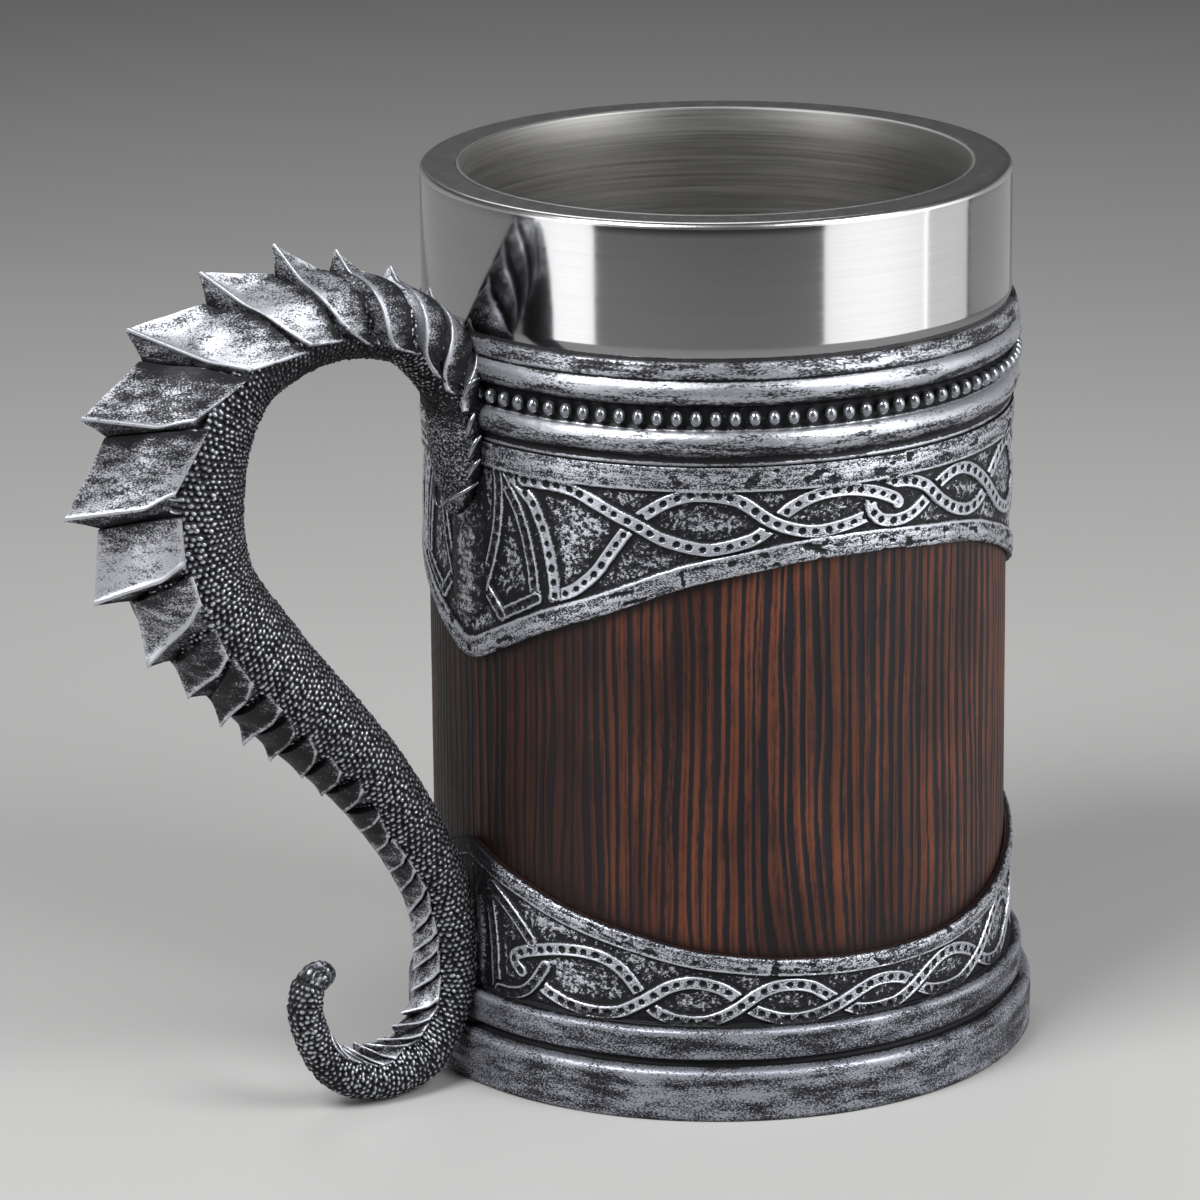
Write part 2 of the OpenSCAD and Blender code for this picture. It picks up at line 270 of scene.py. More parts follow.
def antique(name, dark=(0.0045, 0.0048, 0.0062), bright=(0.56, 0.575, 0.615), speck=2100.0,
            amp=0.9, patch=0.35, lo=0.42, hi=0.66, rough=(0.55, 0.34), stretch=(1, 1, 1),
            metal=0.85, tone=(0.085, 0.087, 0.098), patch_scale=170.0, pstretch=(1, 1, 1)):
    """Silver dry-brushed over black: the hi attribute says how proud a spot is, and in places it also carries painted
    highlights and painted shade.
    """
    m, nt, b = new_mat(name)
    w = Net(nt)
    co = w.coords(stretch)
    n1 = w.noise(co, speck, 3.0, 0.62)
    n2 = w.noise(w.coords(pstretch), patch_scale, 2.0, 0.5)
    a = w.math("MULTIPLY", w.math("SUBTRACT", n1, 0.5), amp * 2)
    c = w.math("MULTIPLY", w.math("SUBTRACT", n2, 0.5), patch * 2)
    t = w.math("ADD", w.math("ADD", w.attr("hi"), a), c)
    fac = w.ramp(t, lo, hi)
    mid = w.ramp(t, lo - 0.25, lo + 0.12)
    col = w.mix(fac, w.mix(mid, dark, tone), bright)
    w.link(col, b.inputs["Base Color"])
    w.link(w.ramp(fac, 0, 1, 0.25, metal, False), b.inputs["Metallic"])
    w.link(w.ramp(fac, 0, 1, rough[0], rough[1], False), b.inputs["Roughness"])
    w.link(w.bump(n1, 0.00009, 0.55), b.inputs["Normal"])
    b.inputs["Specular IOR Level"].default_value = 0.3
    return m


M_SILVER = antique("antique_silver")
M_RELIEF = antique("antique_silver_relief", speck=3900.0, amp=1.10, patch=0.24, bright=(0.56, 0.575, 0.63),
                   tone=(0.055, 0.057, 0.068), lo=0.38, hi=0.70, stretch=(0.75, 0.75, 1.25), patch_scale=520.0,
                   pstretch=(0.4, 0.4, 1.8))
M_BAND = antique("antique_silver_band", speck=2600.0, amp=1.1, patch=1.0, stretch=(0.6, 0.6, 1.5), rough=(0.52, 0.35),
                 bright=(0.42, 0.432, 0.47), lo=0.36, hi=0.78, patch_scale=420.0, pstretch=(0.3, 0.3, 2.2))
M_FOOT = antique("antique_silver_foot", speck=3300.0, amp=1.45, patch=0.95, bright=(0.33, 0.34, 0.385),
                 lo=0.44, hi=0.88, tone=(0.08, 0.082, 0.096), stretch=(0.8, 0.8, 1.3), patch_scale=330.0,
                 pstretch=(0.35, 0.35, 1.6), rough=(0.6, 0.46))
M_SKIN = antique("antique_silver_skin", speck=1500.0, amp=0.2, patch=0.15, rough=(0.5, 0.27),
                 bright=(0.47, 0.482, 0.53), lo=0.34, hi=1.0, tone=(0.028, 0.030, 0.036))
M_ROOT = antique("antique_silver_root", speck=2900.0, amp=1.35, patch=0.3, lo=0.40, hi=0.68,
                 bright=(0.46, 0.47, 0.51), tone=(0.05, 0.052, 0.06))
M_SCUTE = antique("antique_silver_scute", speck=3700.0, amp=1.15, patch=0.62, rough=(0.56, 0.44), lo=0.28, hi=0.80,
                  stretch=(0.8, 0.8, 1.2), bright=(0.52, 0.53, 0.575), patch_scale=620.0, pstretch=(0.5, 0.5, 1.4))
M_BEAD = antique("antique_silver_bead", speck=1500.0, amp=0.45, patch=0.3, rough=(0.46, 0.22), bright=(0.27, 0.28, 0.31))


def steel(name, color, rough, streak, around=40.0, along=3200.0, bump=0.000004,
          aniso=0.0, rough_var=0.1):
    m, nt, b = new_mat(name)
    w = Net(nt)
    n = w.noise(w.coords((around, around, along)), 1.0, 3.0, 0.6)
    n2 = w.noise(w.coords((around * 3, around * 3, along * 0.22)), 1.0, 2.0, 0.6)
    both = w.math("ADD", w.math("MULTIPLY", n, 0.6), w.math("MULTIPLY", n2, 0.4))
    k = w.ramp(both, 0.3, 0.7, 0, 1, False)
    w.link(w.mix(k, tuple(c * (1 - streak) for c in color), tuple(min(1, c * (1 + streak)) for c in color)),
           b.inputs["Base Color"])
    b.inputs["Metallic"].default_value = 1.0
    w.link(w.ramp(k, 0, 1, rough - rough_var * rough, rough + rough_var * rough, False), b.inputs["Roughness"])
    if bump:
        w.link(w.bump(both, bump, 1.0), b.inputs["Normal"])
    return m


# The collar's and the cup's base colours are darker than real steel's, set together with the low light panels to give
# dim studio reflections: painted shade on the steel.
M_COLLAR = steel("polished_steel", (0.31, 0.31, 0.315), 0.10, 0.05, 14.0, 2600.0, 0.0000025, rough_var=0.25)
M_RIM = steel("matt_rim_steel", (0.47, 0.47, 0.475), 0.25, 0.08, 300.0, 300.0, 0.000006)
M_EDGE = steel("bright_edge_steel", (0.60, 0.60, 0.61), 0.26, 0.04, 60.0, 900.0, 0.000002)
M_CUP = steel("brushed_cup_steel", (0.35, 0.345, 0.335), 0.42, 0.20, 16.0, 5200.0, 0.000006, rough_var=0.12)
M_PLAIN = steel("plain_steel", (0.45, 0.45, 0.45), 0.4, 0.1, 200.0, 400.0, 0.00001)


def matt(name, a, b_, rough, scale=900.0):
    m, nt, b = new_mat(name)
    w = Net(nt)
    n = w.noise(w.coords(), scale, 3.0)
    w.link(w.mix(n, a, b_), b.inputs["Base Color"])
    w.link(w.ramp(n, 0, 1, rough - 0.05, rough + 0.05, False), b.inputs["Roughness"])
    w.link(w.bump(n, 0.00005, 0.4), b.inputs["Normal"])
    return m


M_SEAL = matt("black_sealant", (0.008, 0.008, 0.009), (0.02, 0.02, 0.022), 0.55)
M_BASE = matt("dark_resin", (0.012, 0.012, 0.013), (0.03, 0.03, 0.032), 0.7)


def wood():
    """Painted grain: the stripe attribute is 0 on the black strokes and 1 on the red ones."""
    m, nt, b = new_mat("painted_wood_grain")
    w = Net(nt)
    st = w.attr("stripe")
    fine = w.noise(w.coords((1, 1, 0.03)), 2600.0, 3.0, 0.6)
    patch = w.noise(w.coords((1, 1, 0.4)), 85.0, 3.0, 0.6)
    grit = w.noise(w.coords((1, 1, 0.35)), 1700.0, 3.0, 0.65)
    t = w.math("ADD", st, w.math("MULTIPLY", w.math("SUBTRACT", fine, 0.5), 1.1))
    t = w.math("ADD", t, w.math("MULTIPLY", w.math("SUBTRACT", grit, 0.5), 0.8))
    fac = w.ramp(t, 0.20, 0.98)
    red = w.mix(w.ramp(patch, 0.36, 0.66), (0.064, 0.0210, 0.0125), (0.128, 0.0375, 0.0180))
    black = w.mix(w.ramp(patch, 0.35, 0.75), (0.0055, 0.0052, 0.0075), (0.0130, 0.0102, 0.0125))
    # shade mixes the grain towards near-black brown: painted shade beside the aprons and towards the handle, plus
    # random darker patches in the paint
    shade = w.attr("shade")
    col = w.mix(fac, black, red)
    col = w.mix(w.ramp(shade, 0, 1, 0, 1, False), col, (0.0085, 0.0038, 0.0034))
    w.link(col, b.inputs["Base Color"])
    w.link(w.ramp(grit, 0.2, 0.8, 0.42, 0.58), b.inputs["Roughness"])
    w.link(w.bump(t, 0.00007, 0.5), b.inputs["Normal"])
    b.inputs["Specular IOR Level"].default_value = 0.22
    return m


M_WOOD = wood()


def edge_red():
    m, nt, b = new_mat("painted_edge")
    w = Net(nt)
    n = w.noise(w.coords(), 900.0, 3.0)
    w.link(w.mix(w.ramp(n, 0.35, 0.65), (0.012, 0.006, 0.005), (0.05, 0.012, 0.008)), b.inputs["Base Color"])
    b.inputs["Roughness"].default_value = 0.5
    return m


M_REDGE = edge_red()

# ------------------------------------------------------------------ steel
N_REV = 384
R_COLLAR, R_MOUTH = 49.2, 42.4
cup_z = 11.0

# inner cup
prof = densify([(0.0, cup_z - 0.7), (37.1, cup_z - 0.7)], 6)[:-1]
prof += arc(37.1, cup_z - 0.7 + 6, 6.0, -90, 0, 14)
prof += densify([(43.1, cup_z + 5.4), (43.1, 150.0)], 10)[1:]
prof += [(43.06, 150.02), (42.75, 150.03), (42.5, 149.9), (42.4, 149.6)]
prof += densify([(42.4, 149.6), (42.4, cup_z + 5.3)], 6)[1:]
prof += arc(37.1, cup_z + 5.3, 5.3, 0, -90, 14)[1:]
prof += densify([(37.1, cup_z), (0.0, cup_z)], 5)[1:]
prof = [(max(r, 0.02), z) for r, z in prof]
liner = revolve("liner_cup_steel", prof, [M_CUP], N_REV, slot="brushed_steel_cup", sharp=40)
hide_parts("liner_cup")

# rim annulus with bright bevels
prof = [(43.14, 149.2), (43.14, 149.86), (43.2, 149.97), (43.42, 150.0)]
prof += densify([(43.42, 150.0), (48.15, 150.0)], 0.8)[1:]
prof += arc(48.2, 149.0, 1.0, 90, 0, 10)[1:]
k_edge = len(prof)
prof += densify([(49.2, 149.0), (49.2, 128.15)], 1.6)[1:]
prof += [(49.12, 128.02), (48.95, 128.0)]
prof += [(46.9, 128.0), (46.9, 6.0), (46.1, 6.0), (46.1, 128.8), (48.4, 128.8), (48.4, 148.6),
         (48.2, 149.1), (47.9, 149.2)]
shell = revolve("outer_shell_steel", prof[::-1], [M_COLLAR, M_RIM, M_EDGE], N_REV, slot="polished_steel", sharp=35)
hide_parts("outer_shell")
me = shell.data
cen = np.zeros(len(me.polygons) * 3)
me.polygons.foreach_get("center", cen)
cen = cen.reshape(-1, 3) / MM
rr = np.hypot(cen[:, 0], cen[:, 1])
mi = np.zeros(len(me.polygons), np.int32)
mi[(cen[:, 2] > 149.9) & (rr < 48.35) & (rr > 43.3)] = 1
mi[(cen[:, 2] > 149.05) & ((rr >= 48.35) | (rr <= 43.3))] = 2
me.polygons.foreach_set("material_index", mi)



for node, mat in (("shell_base", M_PLAIN), ("collar_seal", M_SEAL), ("base_plate", M_BASE),
                  ("tail_armature", M_PLAIN), ("tail_dowels", M_PLAIN)):
    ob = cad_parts[node]
    ob.data.materials.clear()
    ob.data.materials.append(mat)


# ----------------------------------------------------------------- barrel
def build_barrel():
    """Two half sleeves of fine columns, with the grain's strokes cut in."""
    cols = 1400
    rows = 110
    z = np.linspace(15.6, 110.0, rows)
    phi = np.arange(cols) * 2 * math.pi / cols
    PH, Z = np.meshgrid(phi, z, indexing="ij")
    X = PH * 48.6
    tau = (PH / RAD - 180.0) % 360.0          # angle from the handle
    # the strokes lean a little, most of all low on the side by the handle
    lean = -2.6 * np.exp(-((tau - 73) / 11) ** 2) * smooth(62, 24, Z) * ((62 - Z) / 38.0)
    wob = (vn(X / 9, Z / 34, 11, int(round(2 * math.pi * 48.6 / 9))) - 0.5) * 1.5
    wob += (vn(X / 3.1, Z / 13, 12, int(round(2 * math.pi * 48.6 / 3.1))) - 0.5) * 0.7
    U = X + lean + wob
    C = 2 * math.pi * 48.6

    def lane(pitch, seed):
        n = int(round(C / pitch))
        u = (U / C * n)
        c = np.floor(u).astype(np.int64)
        best = np.full(U.shape, 9.0)
        for k in (-1, 0, 1):
            cc = (c + k) % n
            off = 0.30 + 0.40 * hash2(cc, 0, seed)
            wid = 0.30 + 0.46 * hash2(cc, 1, seed)
            # strokes come and go along their length
            ln = vn(Z / (9 + 16 * hash2(cc, 2, seed)) + 40 * hash2(cc, 3, seed), cc * 3.0, seed + 5)
            w_ = wid * (0.55 + 0.75 * ln)
            d = np.abs(u - (c + k + off)) * pitch / (w_ + 0.05)
            best = np.minimum(best, d)
        return best

    d1 = lane(2.05, 21)
    d2 = lane(1.1, 22)
    dark = np.maximum(1 - smooth(0.50, 1.15, d1), 0.36 * (1 - smooth(0.2, 0.9, d2)))
    dark = np.clip(dark + 0.25 * (vn(X / 2.3, Z / 7.0, 44) - 0.35), 0, 1)
    stripe = 1 - dark
    relief = -0.09 * dark + 0.03 * (fbm(X / 0.9, Z / 6, 31, 2) - 0.5)
    R = 48.6 + relief
    lowe = interp(LOWER, np.minimum(tau, 360 - tau))
    uppe = interp(UPPER, np.minimum(tau, 360 - tau))
    # shade is painted shade just above the lower apron, just below the upper apron and towards the handle, plus random
    # darker patches
    shade = np.exp(-np.clip(Z - lowe, 0, 99) / 1.6) * 0.9 + 0.75 * np.exp(-np.clip(uppe - Z, 0, 99) / 0.9)
    near = np.minimum(tau, 360 - tau)
    shade += 0.45 * smooth(0.48, 0.78, fbm(X / 14, Z / 24, 41, 2))
    shade += 0.42 * smooth(38, 22, near) * smooth(1.0, 6.0, near) + 0.28 * smooth(66, 40, near)
    parts = 2
    for p in range(parts):
        i0, i1 = p * cols // parts, (p + 1) * cols // parts
        idx = np.arange(i0, i1 + 1) % cols
        r, zz, ph = R[idx], Z[idx], PH[idx]
        inner = np.stack([46.95 * np.cos(ph[:, 0]), 46.95 * np.sin(ph[:, 0])], -1)
        n = len(idx)
        V = np.zeros((n, rows + 4, 3))
        V[:, 2:rows + 2, 0] = r * np.cos(ph)
        V[:, 2:rows + 2, 1] = r * np.sin(ph)
        V[:, 2:rows + 2, 2] = zz
        for j, (rad, hgt) in {0: (46.97, 6.02), 1: (48.6, 6.02), rows + 2: (48.6, 127.38), rows + 3: (46.97, 127.38)}.items():
            V[:, j, 0] = rad * np.cos(ph[:, 0])
            V[:, j, 1] = rad * np.sin(ph[:, 0])
            V[:, j, 2] = hgt
        m = rows + 4
        q = grid_quads(n, m, False, True)
        caps = [list(range(m))[::-1], [(n - 1) * m + j for j in range(m)]]
        st = np.full((n, m), 0.5)
        st[:, 2:rows + 2] = stripe[idx]
        sh = np.full((n, m), 1.0)
        sh[:, 2:rows + 2] = np.clip(shade[idx], 0, 1)
        ob = make(f"barrel_half_{p}", V, q, M_WOOD, extra=caps, attrs={"stripe": st, "shade": sh},
                  slot="painted_wood_grain")
        if p == 0:
            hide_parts("barrel")


UPPER = [(0, 72.4), (3, 72.8), (6, 73.9), (11, 76.0), (16, 78.1), (21, 80.2), (26, 82.0), (31, 83.6), (36, 85.3),
         (41, 87.1), (46, 88.9), (51, 90.4), (56, 91.5), (61, 92.3), (66, 93.1), (71, 93.9), (76, 94.2), (83, 94.35),
         (89, 94.2), (96, 93.7), (101, 93.2), (106, 92.7), (111, 92.0), (116, 91.0), (121, 89.5), (126, 88.1),
         (137, 84.4), (150, 79.7), (160, 76.5), (170, 73.8), (177, 72.6), (180, 72.4)]
LOWER = [(0, 41), (3, 40.2), (6, 39.2), (10.5, 37.8), (15.5, 36.5), (21, 34.9), (26, 33.5), (31, 32.4), (36, 31.3),
         (41, 30.3), (46, 29.2), (51, 28.3), (56, 27.7), (61, 27.2), (66, 26.7), (71, 26.4), (76, 26.15), (81, 25.95),
         (86, 25.85), (91, 25.8), (96, 25.95), (101, 26.1), (106, 26.4), (111, 27.0), (116, 27.8), (121, 28.7),
         (128, 30.2), (135, 31.9), (145, 34.4), (155, 36.8), (165, 39), (174, 40.6), (180, 41)]
build_barrel()

# ------------------------------------------------------------- mouth band
N_BAND = 720


def band_bump(phi, z, r):
    x = phi * 50
    out = 0.10 * (fbm(x / 5.5, z / 1.8, 51, 3) - 0.5) + 0.06 * (vn(x / 1.1, z / 0.7, 52) - 0.5)
    pits = smooth(0.80, 0.93, vn(x / 2.3, z / 1.1, 53)) * smooth(0.5, 0.7, vn(x / 17, z / 3, 54))
    return np.where(r > 48.9, out - 0.14 * pits, 0)


prof = [(48.66, 110.22), (49.15, 110.22), (49.3, 110.35), (49.32, 110.75), (49.2, 110.95), (49.12, 111.3)]
prof += [(49.2, 111.62)]
a2 = arc(48.25, 114.1, 2.4, -62, 62, 26)
prof += a2
prof += [(49.25, 116.55), (49.02, 116.75), (48.95, 117.1), (48.95, 118.3), (48.95, 119.6), (49.02, 119.95), (49.25, 120.15)]
a1 = arc(48.6, 122.55, 2.4, -66, 52, 26)
prof += a1
prof += [(50.02, 124.62), (50.12, 124.72), (50.34, 124.9), (50.42, 125.15), (50.36, 125.6), (50.12, 126.4), (49.86, 127.2),
         (49.7, 127.38), (49.4, 127.4), (48.66, 127.4)]
prof = densify(prof, 0.45)
pr = np.array(prof)
hi = np.full(len(pr), 0.45)
# The upper half of each torus is painted brighter and its underside darker: a painted highlight from above and painted
# shade below.
hi = np.where((pr[:, 1] > 111.7) & (pr[:, 1] < 116.6), 0.50 + 0.42 * smooth(113.6, 115.6, pr[:, 1]) - 0.3 * smooth(112.9, 111.9, pr[:, 1]), hi)
hi = np.where((pr[:, 1] >= 120.2) & (pr[:, 1] < 124.7), 0.5 + 0.38 * smooth(121.6, 123.6, pr[:, 1]) - 0.3 * smooth(121.4, 120.4, pr[:, 1]), hi)
hi = np.where((pr[:, 0] < 49.45) & (pr[:, 1] > 116.4) & (pr[:, 1] < 120.4), -0.4, hi)
hi = np.where((pr[:, 0] < 50.25) & (pr[:, 1] > 124.4) & (pr[:, 1] < 124.8), -0.1, hi)
hi = np.where(pr[:, 1] >= 124.85, 0.42, hi)
hi = np.where(pr[:, 1] <= 111.62, np.where((pr[:, 1] > 110.3) & (pr[:, 1] < 110.8), 0.75, -0.2), hi)
band = revolve("mouth_band_silver", prof, M_BAND, N_BAND, hi=hi, bump=band_bump, slot="antique_silver")
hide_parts("mouth_band")

# beads, all in one piece
nb, nu, nv_ = 100, 16, 12
V, Q, H = [], [], []
for i in range(nb):
    a = (i + 0.5) * 3.6 * RAD
    er = np.array([math.cos(a), math.sin(a), 0])
    et = np.array([-math.sin(a), math.cos(a), 0])
    c = er * 50.02 + np.array([0, 0, 118.35])
    ring = []
    rx = 0.98 + 0.05 * (hash2(i, 1, 7) - 0.5)
    rz = 1.19 + 0.08 * (hash2(i, 2, 7) - 0.5)
    th = np.linspace(0, math.pi, nv_ + 1)[1:-1]
    ps = np.arange(nu) * 2 * math.pi / nu
    TH, PS = np.meshgrid(th, ps, indexing="ij")
    loc = (er[None, None] * (np.sin(TH) * np.cos(PS))[..., None] * 1.03
           + et[None, None] * (np.sin(TH) * np.sin(PS))[..., None] * rx
           + np.array([0, 0, 1.0])[None, None] * np.cos(TH)[..., None] * rz)
    base = len(V)
    pts = (c + loc).reshape(-1, 3)
    top, bot = c + np.array([0, 0, rz]), c - np.array([0, 0, rz])
    V.extend(pts.tolist() + [top.tolist(), bot.tolist()])
    H.extend((0.62 + 0.35 * (np.sin(TH) * np.cos(PS)).reshape(-1)).tolist() + [0.4, 0.3])
    Q.append((grid_quads(nv_ - 1, nu, False, True) + base)[:, ::-1])
    n0 = base + (nv_ - 1) * nu
    tri = []
    for j in range(nu):
        tri.append([base + j, base + (j + 1) % nu, n0, n0])
        tri.append([base + (nv_ - 2) * nu + (j + 1) % nu, base + (nv_ - 2) * nu + j, n0 + 1, n0 + 1])
    ring = tri
    if i == 0:
        TRI = []
    TRI.extend([t[:3] for t in tri])
beads = make("bead_row_silver", V, np.concatenate(Q), M_BEAD, extra=[t[::-1] for t in TRI], attrs={"hi": H}, slot="antique_silver")
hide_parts("bead_row")

# ------------------------------------------------------------------- foot
N_FOOT = 720


def foot_bump(phi, z, r):
    x = phi * 52
    out = 0.12 * (fbm(x / 6.5, z / 2.6, 61, 3) - 0.5) + 0.05 * (vn(x / 0.9, z / 0.8, 62) - 0.5)
    pits = smooth(0.82, 0.95, vn(x / 2.1, z / 1.3, 63)) * smooth(0.45, 0.7, vn(x / 15, z / 4, 64))
    return np.where(r > 49.2, out - 0.16 * pits, 0)


prof = [(48.66, 0.0), (52.9, 0.0), (53.25, 0.12), (53.42, 0.4)]
prof += densify([(53.42, 0.4), (53.5, 4.0), (53.48, 7.7)], 0.5)[1:]
prof += arc(52.45, 7.75, 1.03, 0, 80, 8)
prof += [(52.2, 8.86), (51.3, 8.95), (50.95, 9.05), (50.8, 9.35), (50.8, 9.8), (50.95, 10.1), (51.4, 10.18), (51.7, 10.25), (51.88, 10.5)]
prof += densify([(51.88, 10.5), (51.9, 12.4), (51.86, 14.35)], 0.45)[1:]
prof += arc(51.1, 14.45, 0.78, 5, 85, 7)
prof += [(50.9, 15.26), (49.9, 15.3), (48.66, 15.3)]
prof = densify(prof, 0.5)
pr = np.array(prof)
hi = np.full(len(pr), 0.46)
hi = np.where((pr[:, 1] > 8.6) & (pr[:, 1] < 10.35) & (pr[:, 0] < 51.6), -0.4, hi)
# The rounded top edges of both steps are painted bright: dry-brush wear on the edges plus a painted highlight from
# above.
hi = np.where((pr[:, 1] >= 7.6) & (pr[:, 1] < 8.85) & (pr[:, 0] > 52.3), 0.72, hi)
hi = np.where((pr[:, 1] >= 14.3) & (pr[:, 0] > 50.9), 0.7, hi)
hi = np.where((pr[:, 1] >= 15.2) & (pr[:, 0] < 50.9), 0.05, hi)
hi = np.where(pr[:, 1] < 0.3, 0.3, hi)
foot = revolve("foot_silver", prof, M_FOOT, N_FOOT, hi=hi, bump=foot_bump, slot="antique_silver")
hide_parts("foot")

# ------------------------------------------------- interlaced relief bands
STRAP_W = 1.16       # half width of a strap
DOT = 2.2            # spacing of the pits along it


def catmull(points, step=0.35):
    p = np.array(points, float)
    if len(p) == 2:
        n = max(2, int(math.dist(p[0], p[1]) / step) + 1)
        return p[0] + (p[1] - p[0]) * np.linspace(0, 1, n)[:, None]
    ext = np.vstack([2 * p[0] - p[1], p, 2 * p[-1] - p[-2]])
    out = []
    for i in range(1, len(ext) - 2):
        a, b, c, d = ext[i - 1:i + 3]
        n = max(2, int(np.hypot(*(c - b)) / step) + 1)
        t = np.linspace(0, 1, n, endpoint=False)[:, None]
        out.append(0.5 * (2 * b + (c - a) * t + (2 * a - 5 * b + 4 * c - d) * t * t
                          + (3 * b - 3 * c + d - a) * t ** 3))
    out.append(p[-1:])
    return np.vstack(out)


class Strap:
    def __init__(self, pts, r, step=0.35, base=0.0, thin=0.0):
        self.base, self.thin = base, thin
        q = np.array(pts, float)
        q[:, 0] = q[:, 0] * RAD * r
        self.p = catmull(q, step)
        seg = np.hypot(*np.diff(self.p, axis=0).T)
        self.s = np.concatenate([[0], np.cumsum(seg)])
        self.cross = []

    def lift(self, s):
        """+1 where this strap passes over another, -1 where it dives under."""
        out = np.full_like(s, self.base)
        for c, up in self.cross:
            out += up * np.exp(-((s - c) / 2.0) ** 2)
        return np.clip(out, -1.2, 1.2)


def weave(straps):
    """Finds where straps cross and lets each pass over and under by turns."""
    hits = {}
    for a in range(len(straps)):
        for b in range(a, len(straps)):
            A, B = straps[a], straps[b]
            p, r_ = A.p[:-1], np.diff(A.p, axis=0)
            q, s_ = B.p[:-1], np.diff(B.p, axis=0)
            den = r_[:, None, 0] * s_[None, :, 1] - r_[:, None, 1] * s_[None, :, 0]
            den = np.where(np.abs(den) < 1e-9, np.nan, den)
            w = q[None] - p[:, None]
            t = (w[..., 0] * s_[None, :, 1] - w[..., 1] * s_[None, :, 0]) / den
            u = (w[..., 0] * r_[:, None, 1] - w[..., 1] * r_[:, None, 0]) / den
            ok = (t >= 0) & (t < 1) & (u >= 0) & (u < 1)
            for i, j in zip(*np.nonzero(ok)):
                if a == b and abs(int(i) - int(j)) < 6 or (a == b and i > j):
                    continue
                sa = A.s[i] + t[i, j] * (A.s[i + 1] - A.s[i])
                sb = B.s[j] + u[i, j] * (B.s[j + 1] - B.s[j])
                if min(sa, A.s[-1] - sa) < 1.3 or min(sb, B.s[-1] - sb) < 1.3:
                    continue
                key = (round(float(A.p[i, 0]), 1), round(float(A.p[i, 1]), 1), a, b)
                hits[key] = (a, sa, b, sb)
    hits = list(hits.values())
    state = [None] * len(hits)
    for a in range(len(straps)):
        mine = []
        for h, (i, si, j, sj) in enumerate(hits):
            if i == a:
                mine.append((si, h, 0))
            if j == a:
                mine.append((sj, h, 1))
        mine.sort()
        up = -1
        known = [k for k, m in enumerate(mine) if state[m[1]] is not None]
        if known:
            k = known[0]
            h, side = mine[k][1], mine[k][2]
            cur = state[h] if side == 0 else -state[h]
            up = cur * (-1) ** k
        for k, (s, h, side) in enumerate(mine):
            want = up * (-1) ** k
            if state[h] is None:
                state[h] = want if side == 0 else -want
    for h, (i, si, j, sj) in enumerate(hits):
        straps[i].cross.append((si, state[h]))
        straps[j].cross.append((sj, -state[h]))


def relief(X, Z, straps, seed, deep_seed_wrap):
    """Height above the field, and a class map, for points (X, Z) in mm."""
    D = [np.full(X.shape, 9.0) for _ in straps]
    S = [np.zeros(X.shape) for _ in straps]
    xcol = X[:, 0]
    for k, st in enumerate(straps):
        for i in range(len(st.p) - 1):
            a, b = st.p[i], st.p[i + 1]
            lo, hi_ = min(a[0], b[0]) - 2.0, max(a[0], b[0]) + 2.0
            c0, c1 = np.searchsorted(xcol, lo), np.searchsorted(xcol, hi_)
            if c0 >= c1:
                continue
            x, z = X[c0:c1], Z[c0:c1]
            d = b - a
            L2 = d @ d + 1e-12
            t = np.clip(((x - a[0]) * d[0] + (z - a[1]) * d[1]) / L2, 0, 1)
            dist = np.hypot(x - a[0] - t * d[0], z - a[1] - t * d[1])
            m = dist < D[k][c0:c1]
            D[k][c0:c1][m] = dist[m]
            S[k][c0:c1][m] = (st.s[i] + t * math.sqrt(L2))[m]
    H = np.zeros(X.shape)
    hi = np.zeros(X.shape)
    Q = np.full(X.shape, -9.0)
    lifts = [np.where(D[k] < 2.2, straps[k].lift(S[k]), 0) for k in range(len(straps))]
    on = np.zeros(X.shape, bool)
    for k, st in enumerate(straps):
        inside = (D[k] < STRAP_W) & (lifts[k] > Q)
        d, s, q = D[k][inside], S[k][inside], lifts[k][inside]
        edge = smooth(STRAP_W, STRAP_W - 0.20, d)
        rim = np.exp(-((d - 0.90) / 0.16) ** 2)
        i = np.floor((s + DOT * 0.37) / DOT)
        pit_s = ((s + DOT * 0.37) % DOT) - DOT / 2 + 0.35 * (hash2(i.astype(np.int64), k, seed) - 0.5)
        size_ = 0.86 + 0.32 * hash2(i.astype(np.int64), k + 50, seed)
        pit = smooth(0.56, 0.34, np.hypot(d - 0.16 * (hash2(i.astype(np.int64), k + 90, seed) - 0.5), pit_s * 0.9) / size_)
        h = edge * (0.47 + 0.10 * np.clip(q, -1, 1)) + 0.10 * rim - 0.34 * pit
        H[inside] = h
        worn = 0.61 - st.thin * (1 - rim) * 0.75
        hi[inside] = (worn + 0.25 * rim) * edge - 1.7 * pit + 0.05 * q
        Q[inside] = q
        on |= inside
    # an under strap is cut back along both sides of the strap above it
    for k, st in enumerate(straps):
        ring = (D[k] >= STRAP_W) & (D[k] < STRAP_W + 0.45) & (lifts[k] > Q + 0.2) & on & (lifts[k] > 0.1)
        H[ring] = -0.02
        hi[ring] = -0.5
    near = np.min(np.stack(D), 0) if D else np.full(X.shape, 9.0)
    return H, hi, on, near


def box_blur(A, r, axis):
    A = np.asarray(A, float)
    pad = [(0, 0)] * A.ndim
    pad[axis] = (r + 1, r)
    c = np.cumsum(np.pad(A, pad, mode="edge"), axis=axis)
    n = 2 * r + 1
    if axis == 0:
        return (c[n:] - c[:-n]) / n
    return (c[:, n:] - c[:, :-n]) / n


HANDLE = 56.0        # angles read round the mug run from the viewer's side; the handle is at -56


